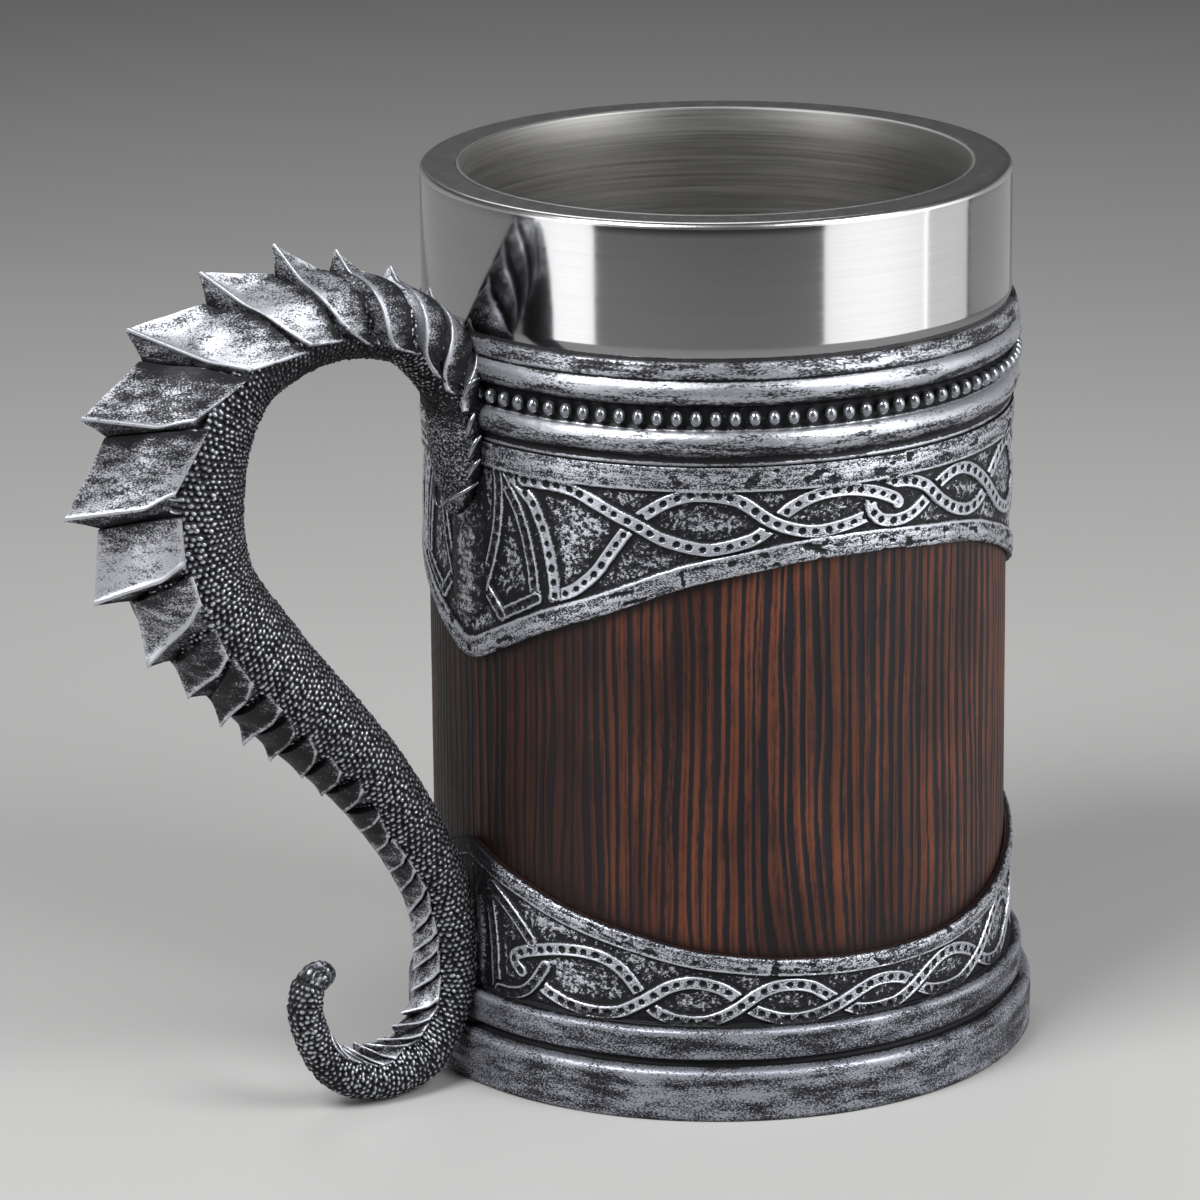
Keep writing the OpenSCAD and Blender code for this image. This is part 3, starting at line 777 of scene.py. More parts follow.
def apron(name, edge, upward, z_flat, r_in, r_field, rise, straps, strip_w, flat_w, extra, node, seed,
          flat_dull=0.0, marks=()):
    """A relief band between a flat edge at z_flat and a wavy edge, in two halves.

    upward is True where the wavy edge is the upper one.
    """
    half = 700
    rows = 132
    th = np.linspace(0, 180, half + 1)
    e = interp(edge, th)
    e = np.convolve(np.pad(e, 9, mode="reflect"), np.hanning(19) / np.hanning(19).sum(), "same")[9:-9]
    v = np.linspace(0, 1, rows)
    Z = e[:, None] + (z_flat - e[:, None]) * v[None]
    X = (th * RAD * r_field)[:, None] * np.ones((1, rows))
    slope = np.gradient(e, th * RAD * r_field)
    dn = np.abs(Z - e[:, None]) / np.sqrt(1 + slope[:, None] ** 2)
    df = np.abs(z_flat - Z)
    H, hi, on, near = relief(X, Z, straps, seed, 0)
    # field: a fine punched ground
    big = 1e3
    halves = []
    for side in (1, -1):
        x = X * side + big
        g = vn(x / 0.52, Z / 0.52, seed) * 0.55 + vn(x / 0.33, Z / 0.33, seed + 1) * 0.45
        ground = 0.20 * (g - 0.5) + 0.16 * (fbm(x / 4.2, Z / 4.2, seed + 2, 2) - 0.5)
        h = np.where(on, H + 0.03 * (g - 0.5), ground)
        open_ = smooth(1.5, 3.4, near)
        cloud = fbm(x / 6.0, Z / 5.0, seed + 21, 2)
        ft = -0.04 + 1.1 * (g - 0.42) + 0.36 * open_ + 0.40 * (cloud - 0.5)
        t = np.where(on, hi + 0.36 * (g - 0.5), ft)
        h, t = extra(X, Z, x, side, h, t)
        # the two plain strips
        wave = 0.10 * (fbm(x / 7, Z / 5, seed + 7, 2) - 0.5)
        blot = fbm(x / 5.0, Z / 2.2, seed + 31, 3)
        for dist, width, dull in ((dn, strip_w, 0.0), (df, flat_w, flat_dull)):
            inner = smooth(width + 0.16, width - 0.14, dist)
            crown = 0.70 + 0.05 * np.cos(np.clip(dist / width, 0, 1) * math.pi * 2 + math.pi)
            pits = smooth(0.70, 0.84, vn(x / 1.7, dist / 0.75, seed + 9)) * smooth(0.42, 0.66, vn(x / 9, dist / 2.6, seed + 10))
            grain = vn(x / 1.9, dist / 0.30, seed + 33)
            strip_h = crown * rise - 0.20 * pits + wave * 0.5 + 0.07 * (g - 0.5) + 0.05 * (grain - 0.5)
            lipped = (np.exp(-((dist - (width - 0.28)) / 0.22) ** 2) + 0.35 * np.exp(-((dist - 0.25) / 0.25) ** 2)
                      + 0.55 * np.exp(-((dist - 0.42 * width) / (0.22 * width)) ** 2))
            strip_t = (0.37 + 0.34 * lipped - 0.55 * pits + 0.26 * (blot - 0.5) + 0.26 * (grain - 0.5)
                       + 0.3 * (g - 0.5) - dull)
            h = lerp(h, strip_h, inner)
            t = lerp(t, strip_t, inner)
            t = t - 0.45 * np.exp(-np.abs(dist - width - 0.35) / 0.3) * (1 - inner)
        if upward:
            # painted shadow where the tail shades the corner
            t = t - 0.5 * smooth(9.5, 5.5, X) * smooth(29.5, 32.5, Z)
        if side == 1:
            for a0, z0, a1, z1, wd, deep in marks:
                p0 = np.array([(a0 + HANDLE) * RAD * r_field, z0])
                p1 = np.array([(a1 + HANDLE) * RAD * r_field, z1])
                d_ = p1 - p0
                tt = np.clip(((X - p0[0]) * d_[0] + (Z - p0[1]) * d_[1]) / (d_ @ d_ + 1e-9), 0, 1)
                dd = np.hypot(X - p0[0] - tt * d_[0], Z - p0[1] - tt * d_[1]) + 0.7 * wd * (g - 0.5)
                mk = smooth(wd, wd * 0.35, dd)
                h = h - 0.11 * deep * mk
                t = t - 0.48 * deep * mk
        halves.append((h, t))
    soft = 4
    obs = []
    for k, side in enumerate((1, -1)):
        h, t = halves[k]
        # cavity: what stands proud of its neighbourhood is brushed brighter
        bl = box_blur(box_blur(h, soft, 0), soft, 1)
        t = t + np.clip((h - bl) * 1.3, -0.5, 0.25)
        # round the free edge
        rr = r_field + h - 0.30 * np.exp(-dn / 0.14)
        ang = math.pi + side * th * RAD
        n, m = len(th), rows + 4
        V = np.zeros((n, m, 3))
        T = np.zeros((n, m))
        A = ang[:, None]
        V[:, 2:rows + 2, 0] = rr * np.cos(A)
        V[:, 2:rows + 2, 1] = rr * np.sin(A)
        V[:, 2:rows + 2, 2] = Z
        T[:, 2:rows + 2] = t
        sgn = 1 if upward else -1
        dz = 0.12 * sgn
        for j, (rad, zz) in {0: (np.full(n, r_in), e + 0 * dz), 1: (np.full(n, r_field - 0.35), e + dz * 0.2),
                             rows + 2: (rr[:, -1] - 0.12, np.full(n, z_flat)),
                             rows + 3: (np.full(n, r_in), np.full(n, z_flat))}.items():
            V[:, j, 0] = rad * np.cos(ang)
            V[:, j, 1] = rad * np.sin(ang)
            V[:, j, 2] = zz
            T[:, j] = -0.6
        q = grid_quads(n, m, False, True)
        caps = [list(range(m))[::-1], [(n - 1) * m + j for j in range(m)]]
        out = (side == 1) == (not upward)
        if not out:
            q = q[:, ::-1]
            caps = [c[::-1] for c in caps]
        ob = make(f"{name}_{k}", V, q, [M_RELIEF, M_REDGE], extra=caps, attrs={"hi": T}, slot="antique_silver")
        mi = np.zeros(len(ob.data.polygons), np.int32)
        grid = np.zeros((n - 1, m), np.int32)
        grid[:, 0] = 1
        mi[:grid.size] = grid.ravel()
        ob.data.polygons.foreach_set("material_index", mi)
        obs.append(ob)
    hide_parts(node)
    return obs


def cam(points):
    """Angles as read round the mug, turned to angles from the handle."""
    return [(a + HANDLE, z) for a, z in points]


def far(points):
    """The same strap repeated in mirror image on the far half of the mug."""
    return [(180.0 - (a + HANDLE), z) for a, z in points]


R_UP = 49.08
panel = [[(-46.2, 105.6), (-45.9, 103.5), (-46, 100.5), (-46.4, 97), (-47.3, 93.6), (-48.4, 90.6), (-49.6, 87.8), (-50.9, 85.2)],
         [(-49.9, 85.2), (-48.3, 83.9), (-46.6, 82.4), (-45.6, 81.5)],
         [(-45.6, 81.5), (-43.5, 82.6), (-41.3, 83.6), (-38.8, 84.7), (-36.5, 85.8)],
         [(-36.6, 85.8), (-37.1, 88.1), (-37.4, 90.5), (-38.1, 93.2), (-38.8, 95.7), (-39.8, 98), (-41.2, 100.6),
          (-42.8, 102.6), (-44.3, 104.2), (-45.8, 105.7)]]
strap1a = [(-43.2, 105.9), (-41, 104.7), (-39.2, 103.3), (-37.2, 101.8), (-35.9, 99.7), (-34.7, 97.6), (-34, 95.6),
           (-33.4, 93.5), (-32.9, 91.4), (-32.5, 89.4), (-32.3, 86.9)]
strap1b = [(-32.6, 86.6), (-29.8, 87.5), (-27.8, 88.4), (-25.9, 89.7), (-24.2, 91), (-22.6, 92.6), (-21.5, 94),
           (-20.1, 95.7), (-18.7, 97.4), (-17.3, 99.0), (-15.6, 100.7), (-14.0, 101.9), (-12.4, 102.8), (-10.6, 103.8),
           (-8.4, 104.7), (-5, 105.5), (-1, 105.5), (3, 104.9), (5, 104.1), (7, 102.9), (9, 101.6), (11, 100.6),
           (14, 99.6), (17, 99.0), (20, 98.9), (23, 99.2), (26, 99.7), (28.2, 100.2), (29.6, 100.5)]
strap2 = [(-39.5, 105.3), (-37, 105.4), (-34.4, 105.4), (-31.6, 105.4), (-28.3, 105), (-26.1, 104.4), (-23.9, 103.5),
          (-21.5, 102.6), (-19.1, 101.6), (-16.5, 100.7), (-14.1, 99.7), (-12, 98.7), (-9.4, 97.8), (-6.8, 97.2),
          (-4, 96.7), (-1.5, 96.5), (1, 96.8), (4, 97.4), (7, 98.3), (9.8, 99.9), (12, 101.7), (14, 103.1), (17, 104.4),
          (20, 105.1), (23, 105.3), (26, 105.2), (30, 104.5), (33.3, 103.5), (35.6, 102.5), (36.3, 101.8)]
loop4 = [(30.3, 103.2), (30.1, 101.9), (30.9, 100.5), (32.8, 99.3), (36, 98.9), (39, 99.3), (41.5, 100.3), (43.6, 101.5),
         (45.6, 102.7), (48, 103.9), (51, 104.7), (54, 104.7), (57, 103.9), (60, 102.5), (63, 100.6), (65.5, 98.7),
         (68, 96.8), (70.5, 95.2), (73.5, 94), (77, 93.4), (81, 94.8), (84.5, 97.4), (88, 100.6), (91.5, 102.9), (95.5, 104.6), (99.5, 105.3), (103.5, 105.4), (107.5, 105.3)]
strap35 = [(32.5, 105.8), (35, 105.4), (38, 105.2), (41, 104.5), (43.3, 103.5), (45, 102.3), (46.8, 100.9), (49, 99.6),
           (51, 98.6), (53.3, 97.8), (56, 97.3), (58.5, 97.5), (61, 98.2), (63.3, 99.6), (65.3, 101.2), (67.3, 102.5),
           (69.5, 103.7), (72, 104.8), (75, 105.2), (78.5, 104.2), (81.5, 101.8), (83.8, 99.0), (86.6, 96.0), (89.6, 93.4), (92.6, 90.6), (96, 88.4), (100.6, 86.7)]
up_straps = [Strap(cam(s), R_UP, thin=0.42) for s in panel]
up_far = [Strap(far(s)[::-1], R_UP, thin=0.4) for s in panel]
woven = [Strap(cam(strap1a), R_UP), Strap(cam(strap1b), R_UP), Strap(cam(strap2), R_UP, base=0.5),
         Strap(cam(loop4), R_UP, base=0.25), Strap(cam(strap35), R_UP), Strap(far(strap1a)[::-1], R_UP)]
weave(woven)
UP_MARKS = [(6.0, 107.6, 7.2, 108.2, 1.25, 0.9), (22.2, 107.6, 22.8, 107.3, 0.8, 0.8), (31.2, 107.8, 32.2, 107.5, 1.0, 0.8),
            (45.5, 107.9, 47.5, 107.5, 0.5, 0.6), (-2.5, 108.9, -1.5, 108.2, 0.7, 0.5), (-8.2, 108.6, -7.2, 107.6, 0.8, 0.6),
            (2.4, 94.2, 3.2, 94.4, 0.6, 1.0), (8.3, 95.5, 9.2, 95.7, 0.6, 1.0), (16.4, 96.6, 17.6, 96.4, 0.5, 0.8),
            (20.1, 96.7, 20.5, 96.8, 0.45, 0.8), (22.2, 96.3, 23.0, 96.3, 0.40, 0.8), (28.0, 97.0, 28.1, 95.6, 0.25, 0.7),
            (30.6, 95.3, 31.2, 95.4, 0.35, 0.5), (-6.6, 92.6, -6.3, 90.6, 0.35, 1.1), (-20, 88.2, -16.4, 89.1, 0.42, 1.1),
            (-17.7, 86.9, -13.6, 88.1, 0.32, 1.2), (-4.5, 93.4, -1.5, 93.9, 0.28, 0.7), (-58.2, 74.5, -55.2, 74.2, 0.75, 0.9),
            (-46.5, 77.0, -43, 78.2, 0.4, 0.8), (-50, 77.4, -48.6, 77.7, 0.4, 0.6), (-36, 82.8, -34.5, 83.2, 0.35, 0.7),
            (48, 95.6, 48.2, 93.9, 0.26, 0.9), (53, 95.4, 55.5, 94.6, 0.4, 0.6), (40, 94.6, 45, 94.2, 0.3, 0.7),
            (62, 93.2, 62.8, 92.9, 0.5, 0.6), (66, 92.4, 66.8, 92.0, 0.5, 0.6)]


def up_extra(X, Z, x, side, h, t):
    """The domed leaf below the tail's root, and its twin on the far side."""
    for c in (0.0, math.pi * R_UP):
        dx = np.abs(X - c)
        w = 0.01 + 5.4 * smooth(77.4, 83, Z) * smooth(112, 101, Z)
        r = dx / w
        inside = smooth(1.0, 0.90, r) * smooth(77.6, 78.4, Z)
        strokes = vn(x / 2.0 + 0.12 * Z, Z / 0.40, 91) * 0.6 + vn(x / 1.1, Z / 0.8, 92) * 0.4
        speck = vn(x / 0.5, Z / 0.62, 93)
        dome = np.sqrt(np.clip(1 - r * r, 0, 1))
        bh = 0.10 + 0.72 * dome + 0.09 * (strokes - 0.5) + 0.08 * (speck - 0.5)
        low = smooth(90, 82, Z)
        centre = np.exp(-((dx - 0.9) / 1.9) ** 2)
        bt = (0.02 + 0.42 * centre * smooth(76, 82, Z) + 0.65 * (speck - 0.5) * (1 - 0.6 * low)
              + (0.35 + 0.55 * low) * (strokes - 0.5) - 0.28 * smooth(97, 103, Z))
        rimd = np.abs(r - 0.93)
        bt = bt - 0.4 * np.exp(-(rimd / 0.05) ** 2)
        h = lerp(h, bh, inside)
        t = lerp(t, bt, inside)
    # the panels next to the leaf are darker in their dark spots
    inpan = smooth(4.5, 6.5, X) * smooth(20, 17, X) * smooth(80, 83, Z)
    t = np.where(t < 0.5, t - 0.30 * inpan * smooth(0.5, 0.2, t), t)
    return h, t


apron("upper_apron", UPPER, False, 110.17, 48.66, R_UP, 1.0, up_straps + up_far + woven, 3.65, 4.1,
      up_extra, "upper_apron", 101, marks=UP_MARKS)

R_LO = 49.45
lo_panel = [[(-49.9, 32.6), (-49.1, 28.9), (-48.5, 24.9), (-48.2, 20), (-48.1, 17.0)],
            [(-49.2, 34.2), (-46.8, 32.8), (-43.7, 30.8), (-41, 28.7), (-38.6, 26.6)]]
lo_hook = [(-47.2, 16.4), (-44.5, 16.5), (-42, 16.9), (-39.8, 17.9), (-37.9, 19.5), (-36.4, 21.3), (-35.3, 22.7)]
lo_w = [[(-41.2, 20.8), (-42.6, 21.9), (-42.9, 23.2), (-40.6, 24.3), (-36.5, 25.4), (-32.5, 26.2), (-28, 26.6), (-24, 26.4),
         (-21, 25.6), (-18.6, 24.2), (-16.8, 22.5), (-14.6, 19.9), (-12.5, 17.9), (-9.8, 16.8), (-6.5, 16.2), (-3, 16.2),
         (0, 16.9), (2.8, 18.1), (5.3, 19.6), (7.8, 21), (10.3, 21.9), (12.8, 22.2), (15.7, 22.0), (18.2, 21.3),
         (20.3, 20.1), (22.6, 18.7), (25, 17.4), (27.5, 16.5), (30, 16.2), (33, 16.2), (36, 16.5), (39, 17.6), (42, 19.2), (45, 20.8),
         (48, 22), (51, 22.3), (54, 21.8), (57, 20.8), (59.5, 19.5), (62, 18.0), (65, 16.8), (69, 16.3), (73, 17.2),
         (77, 19.4), (80.5, 22), (84, 24.6), (88, 26.1), (92, 26.5), (96, 26.6), (100.5, 26.2), (104.5, 25.4),
         (108.6, 24.3), (110.9, 23.2), (110.6, 21.9), (109.2, 20.8)],
        [(-36.6, 19.4), (-35, 18.6), (-33, 17.9), (-29.5, 17), (-26, 16.6), (-22.5, 16.6), (-19, 17.2), (-15.5, 18.8),
         (-12.5, 20.4), (-9.5, 22.0), (-6, 22.9), (-3, 22.8), (0, 22.1), (2.4, 20.9), (4.8, 19.2), (7, 17.9), (9.6, 17.0),
         (12, 16.4), (15, 16.2), (18.5, 16.6), (22, 17.5), (25.5, 18.8), (28.5, 20), (31.2, 20.8), (34, 20.9), (37, 20.4),
         (39.5, 19.4), (41.5, 18.1), (43.8, 17), (46.5, 16.4), (50, 16.1), (53.5, 16.3), (57, 17.4), (60, 18.9),
         (62.5, 20.3), (65, 22.2), (67.5, 24.3), (70.5, 26), (74, 26.2), (77.5, 24.8), (81, 22.2), (84.5, 19.4), (88.5, 17.4), (92, 16.6), (96, 16.8), (100, 17.6), (103, 18.6), (104.6, 19.4)]]
lo_fixed = ([Strap(cam(s), R_LO, thin=0.6) for s in lo_panel] + [Strap(far(s)[::-1], R_LO, thin=0.6) for s in lo_panel]
            + [Strap(cam(lo_hook), R_LO, base=0.6, thin=0.6), Strap(far(lo_hook)[::-1], R_LO, base=0.6, thin=0.4)])
lo_woven = [Strap(cam(s), R_LO, thin=0.12) for s in lo_w]
weave(lo_woven)
LO_MARKS = [(-35.2, 33.4, -33.6, 33.0, 0.35, 0.5), (-38.5, 34.6, -36.5, 34.0, 0.3, 0.4), (-18.4, 30.3, -17.6, 30.2, 0.3, 1.0),
            (-13.5, 28.4, -12.2, 28.0, 0.7, 0.8), (-4.6, 26.6, -4, 26.6, 0.5, 0.9), (10.2, 25.2, 11.3, 24.8, 0.6, 0.9),
            (17.3, 25.4, 18.3, 25.3, 0.35, 1.0), (23, 24.1, 24, 23.8, 0.6, 0.7), (31, 24.6, 32, 24.3, 0.5, 0.8),
            (38.4, 24.9, 38.9, 24.9, 0.3, 0.9), (14, 23.3, 22, 22.9, 0.28, 0.6), (-26, 31.2, -24, 30.7, 0.35, 0.6)]


def lo_extra(X, Z, x, side, h, t):
    """Bright upright flange where the tail beds against the band."""
    d = np.abs(X - 2.5 - 0.15 * np.sin(Z * 0.9))
    rib = smooth(1.5, 0.3, d) * smooth(34.5, 31.0, Z)
    gro = 0.5 * smooth(0.9, 0.3, np.abs(X - 4.4)) * smooth(34.5, 31.0, Z)
    h = lerp(h - 0.1 * gro, 0.55, rib)
    t = lerp(t - 0.7 * gro, 0.50 + 0.4 * (vn(Z / 0.9, X, 95) - 0.5), rib)
    t = t - 0.22 * smooth(20, 15.5, Z) - 0.15 * smooth(18, 6, X)
    return h, t


apron("lower_apron", LOWER, True, 15.34, 48.66, R_LO, 1.05, lo_fixed + lo_woven, 2.8, 0.2,
      lo_extra, "lower_apron", 151, flat_dull=1.2, marks=LO_MARKS)

# ------------------------------------------------------------------- tail
ROUTE = np.array([
    [52.4, 97, 1.2, 0], [51.2, 100.5, 3.2, 0], [50.8, 105.5, 4.8, 0], [50.6, 111.5, 5.6, 0],
    [51, 116.8, 5.8, 0], [53.6, 122.8, 5.8, 0], [60.2, 129.5, 5.9, 0], [70.8, 133.1, 6.7, 0],
    [82.4, 132.9, 7.8, 0], [93.6, 128.2, 8.8, 0], [100.6, 118.7, 9.7, 0], [103, 106.5, 10, 0],
    [102.2, 96.5, 10, 0], [98.6, 88.5, 9.5, 0], [88.8, 76.7, 8.6, 0], [77.5, 64.4, 7.4, 0],
    [70.6, 56.7, 6.7, 0], [65, 48.9, 6.1, 0], [60.2, 41, 5.6, 0], [56.4, 32.5, 5.1, 0],
    [55.1, 24.5, 4.8, 0], [55, 17.5, 4.6, 0], [57, 11.2, 4.5, 0.6], [61.2, 6.2, 4.4, 1.8],
    [66, 4.6, 4.1, 2.6], [71, 4.2, 3.7, 3], [76, 5.4, 3.3, 3], [80.4, 9, 3, 3],
    [83.2, 14.6, 2.8, 3], [84, 19.6, 2.7, 3], [82.3, 23.4, 2.55, 3], [78.2, 23.8, 2.4, 3]], float)
NR = len(ROUTE)


def at(u):
    """Smooth curve through the route: R, z, radius and lean at station u."""
    u = np.asarray(u, float)
    i = np.clip(np.floor(u).astype(int), 0, NR - 2)
    f = (u - i)[..., None]

    def g(j):
        return ROUTE[np.clip(j, 0, NR - 1)]
    b, c = g(i), g(i + 1)
    a = np.where((i == 0)[..., None], 2 * b - c, g(i - 1))
    d = np.where((i == NR - 2)[..., None], 2 * c - b, g(i + 2))
    return 0.5 * (2 * b + (c - a) * f + (2 * a - 5 * b + 4 * c - d) * f * f + (3 * b - 3 * c + d - a) * f ** 3)


def heading(u):
    d = at(np.asarray(u) + 0.01) - at(np.asarray(u) - 0.01)
    n = np.hypot(d[..., 0], d[..., 1])
    return d[..., 0] / n, d[..., 1] / n


U_TAB = np.linspace(0, NR - 1, 3101)
_p = at(U_TAB)[:, [0, 1, 3]]
S_TAB = np.concatenate([[0], np.cumsum(np.linalg.norm(np.diff(_p, axis=0), axis=1))])
R_TAB = at(U_TAB)[:, 2]
S_END = float(S_TAB[-1])
PITCH = 1.12


CURL_S = float(np.interp(20.5, U_TAB, S_TAB))


def packed(S):
    """Arc length stretched so that the pebbles get smaller towards the tip."""
    return S + 0.15 * np.where(S > CURL_S, (S - CURL_S) ** 2 / (S - CURL_S + 12), 0)


def nubs(S, A, R):
    """Dome height 0..1 and brightness of the pebbles on the skin."""
    dp = PITCH * 0.87
    curl = smooth(CURL_S, CURL_S + 25, S)
    P_TAB = packed(S_TAB)
    SP = packed(S)
    rate = 1 + 0.14 * curl
    i0 = np.round(SP / dp).astype(np.int64)
    best = np.full(S.shape, 9.0)
    tone = np.zeros(S.shape)
    for di in (-1, 0, 1):
        i = i0 + di
        si = np.interp(i * dp, P_TAB, S_TAB)
        ri = np.interp(si, S_TAB, R_TAB)
        pitch = PITCH / (1 + 0.14 * smooth(CURL_S, CURL_S + 25, si))
        n = np.maximum(8, np.round(2 * math.pi * ri / pitch)).astype(np.int64)
        q = (A % (2 * math.pi)) * n / (2 * math.pi) + 0.5 * (i & 1)
        j0 = np.floor(q).astype(np.int64)
        for dj in (-1, 0, 1, 2):
            j = j0 + dj
            jj = j % n
            jx = (hash2(i, jj, 71) - 0.5) * (0.38 + 0.06 * curl)
            jy = (hash2(i, jj, 72) - 0.5) * (0.36 + 0.06 * curl)
            ds = (SP - (i + jx) * dp) / rate
            da = (q - (j + jy)) / n * 2 * math.pi * R
            rad = (0.47 + 0.12 * hash2(i, jj, 73)) / rate
            sk = (hash2(i, jj, 74) - 0.5) * (0.5 + 0.2 * curl)
            d = np.hypot(ds + sk * da, da * (0.60 + 0.42 * hash2(i, jj, 75) - 0.06 * curl)) / rad
            m = d < best
            best = np.where(m, d, best)
            tone = np.where(m, hash2(i, jj, 76), tone)
    return np.sqrt(np.clip(1 - best ** 2, 0, 1)), tone


# scutes: keel tip, rear corner of the side lip, its half width, front corner
SC = {
    0: ((49.9, 129.6), (53.6, 115.9), 7.0, (52.6, 115.9)),
    1: ((55.9, 135.6), (56.3, 119.9), 7.5, (54.6, 118.8)),
    2: ((63.3, 140.3), (58.6, 123.2), 7.5, (56.4, 121.2)),
    3: ((73.4, 144.3), (66.2, 128.4), 7.8, (61.3, 126.4)),
    4: ((84.8, 146.6), (77.3, 134.0), 8.0, (70.2, 129.2)),
    5: ((98.3, 143.9), (84.7, 131.8), 8.2, (76.6, 131.3)),
    6: ((111.7, 136.5), (97.1, 129.1), 8.3, (83.6, 130.6)),
    7: ((120.3, 123.2), (106.6, 121.0), 8.2, (95.1, 128.1)),
    8: ((123.8, 107.3), (109.4, 109.0), 8.0, (102.7, 121.0)),
    9: ((119.0, 92.6), (107.5, 98.1), 7.5, (107.8, 107.4)),
    10: ((109.6, 80.8), (104.8, 91.8), 6.6, (106.4, 97.7)),
    11: ((102.6, 74.4), (99.4, 81.8), 5.8, (102.3, 88.1)),
    12: ((96.7, 68.6), (94.4, 76.6), 5.2, (99.0, 82.9)),
    13: ((92.7, 64.7), (89.4, 71.7), 4.7, (92.3, 75.3)),
    14: ((87.8, 61.1), (86.6, 66.9), 4.4, (88.2, 70.6)),
    15: ((81.8, 57.2), (82.4, 62.9), 4.1, (84.4, 66.6)),
    16: ((78.3, 53.5), (77.6, 58.5), 3.8, (80.4, 62.4)),
    17: ((73.9, 49.9), (73.8, 54.7), 3.6, (74.9, 57.4)),
    18: ((70.9, 45.9), (70.4, 49.4), 3.5, (70.8, 51.5)),
    19: ((67.9, 41.9), (67.9, 45.3), 3.5, None), 20: ((65.5, 37.8), (64.8, 41.2), 3.4, None),
    21: ((63.7, 33.9), (63.1, 38.4), 3.4, None), 22: ((62.2, 29.8), (61.1, 34.9), 3.4, None),
    23: ((61.7, 26.2), (59.8, 30.2), 3.3, None), 24: ((61.6, 23.0), (58.9, 26.5), 3.3, None),
    25: ((61.6, 20.0), (58.7, 23.5), 3.3, None), 26: ((61.9, 16.3), (58.4, 19.4), 3.3, None),
    27: ((63.9, 12.8), (58.9, 14.2), 3.3, None), 28: ((65.9, 11.0), (60.3, 11.1), 3.2, None),
    29: ((68.7, 9.2), (62.0, 8.6), 3.1, None), 30: ((71.2, 9.1), (64.9, 7.4), 3.0, None),
    31: ((73.1, 9.6), (67.5, 6.0), 2.8, None), 32: ((75.1, 9.5), (70.1, 5.6), 2.6, None),
    33: ((76.4, 9.6), (73.1, 6.7), 2.4, None), 34: ((77.9, 11.5), (76.2, 8.3), 2.2, None),
    35: ((79.2, 13.5), (78.7, 10.9), 2.0, None)}
LEAN = {27: 0.7, 28: 2.1, 29: 2.7, 30: 3, 31: 3, 32: 3, 33: 3, 34: 3, 35: 3}
RIDGE = {0: (52.3, 127.2), 1: (58.2, 133.2), 2: (66.0, 137.9), 3: (75.3, 140.8), 4: (85.0, 142.0), 5: (97.7, 138.9),
         6: (109.5, 131.1), 7: (116.2, 119.6), 8: (117.8, 104.8), 9: (111.7, 91.8), 10: (104.8, 80.7), 11: (98.1, 73.5)}
CENTRES = at(U_TAB)


def body_near(p):
    """The nearest point of the tail's centre line to (R, z)."""
    d = np.hypot(CENTRES[:, 0] - p[0], CENTRES[:, 1] - p[1])
    return CENTRES[int(np.argmin(d))]


def scute_points():
    out = {}
    for k, (T, L, b, F) in SC.items():
        dl = LEAN.get(k, 0.0)
        T = np.array([T[0] + 0.55 * dl, T[1] + 0.42 * dl])
        L = np.array([L[0] + 0.55 * dl, L[1] + 0.42 * dl])
        C = body_near(T)[:2]
        S = np.array(RIDGE[k]) if k in RIDGE else T + (C - T) * 0.38
        out[k] = dict(T=T, L=L, b=b, S=S, y=-dl, F=None if F is None else np.array(F))
    for k in range(19, 36):
        p = out[k - 1]["L"]
        c = body_near(p)[:2]
        out[k]["F"] = p + (c - p) / (np.linalg.norm(c - p) + 1e-6) * 0.25
    return out


PTS = scute_points()


def side_height(p, c_u):
    """How far (R, z) lies outward of the centre line at station c_u."""
    c = at(np.array(c_u))
    t0, t1 = heading(np.array(c_u))
    return float(-(p[0] - c[0]) * t1 + (p[1] - c[1]) * t0), float(c[2])


def seat_lips():
    """Seats every lip just proud of the skin, and lists (u, lip angle)."""
    rows = []
    for k in range(0, 36):
        for key, half, proud in (("F", "bf", 0.30), ("L", "b", 0.62)):
            p = PTS[k][key]
            d = np.hypot(CENTRES[:, 0] - p[0], CENTRES[:, 1] - p[1])
            u = float(U_TAB[int(np.argmin(d))])
            h, r = side_height(p, u)
            want = r + proud * (1.0 if k < 12 else 0.55)
            PTS[k][half] = math.sqrt(max(want * want - h * h, (0.45 * r) ** 2))
            rows.append((u, math.degrees(math.atan2(PTS[k][half], h))))
    rows.sort()
    return np.array(rows)


LIPS = seat_lips()


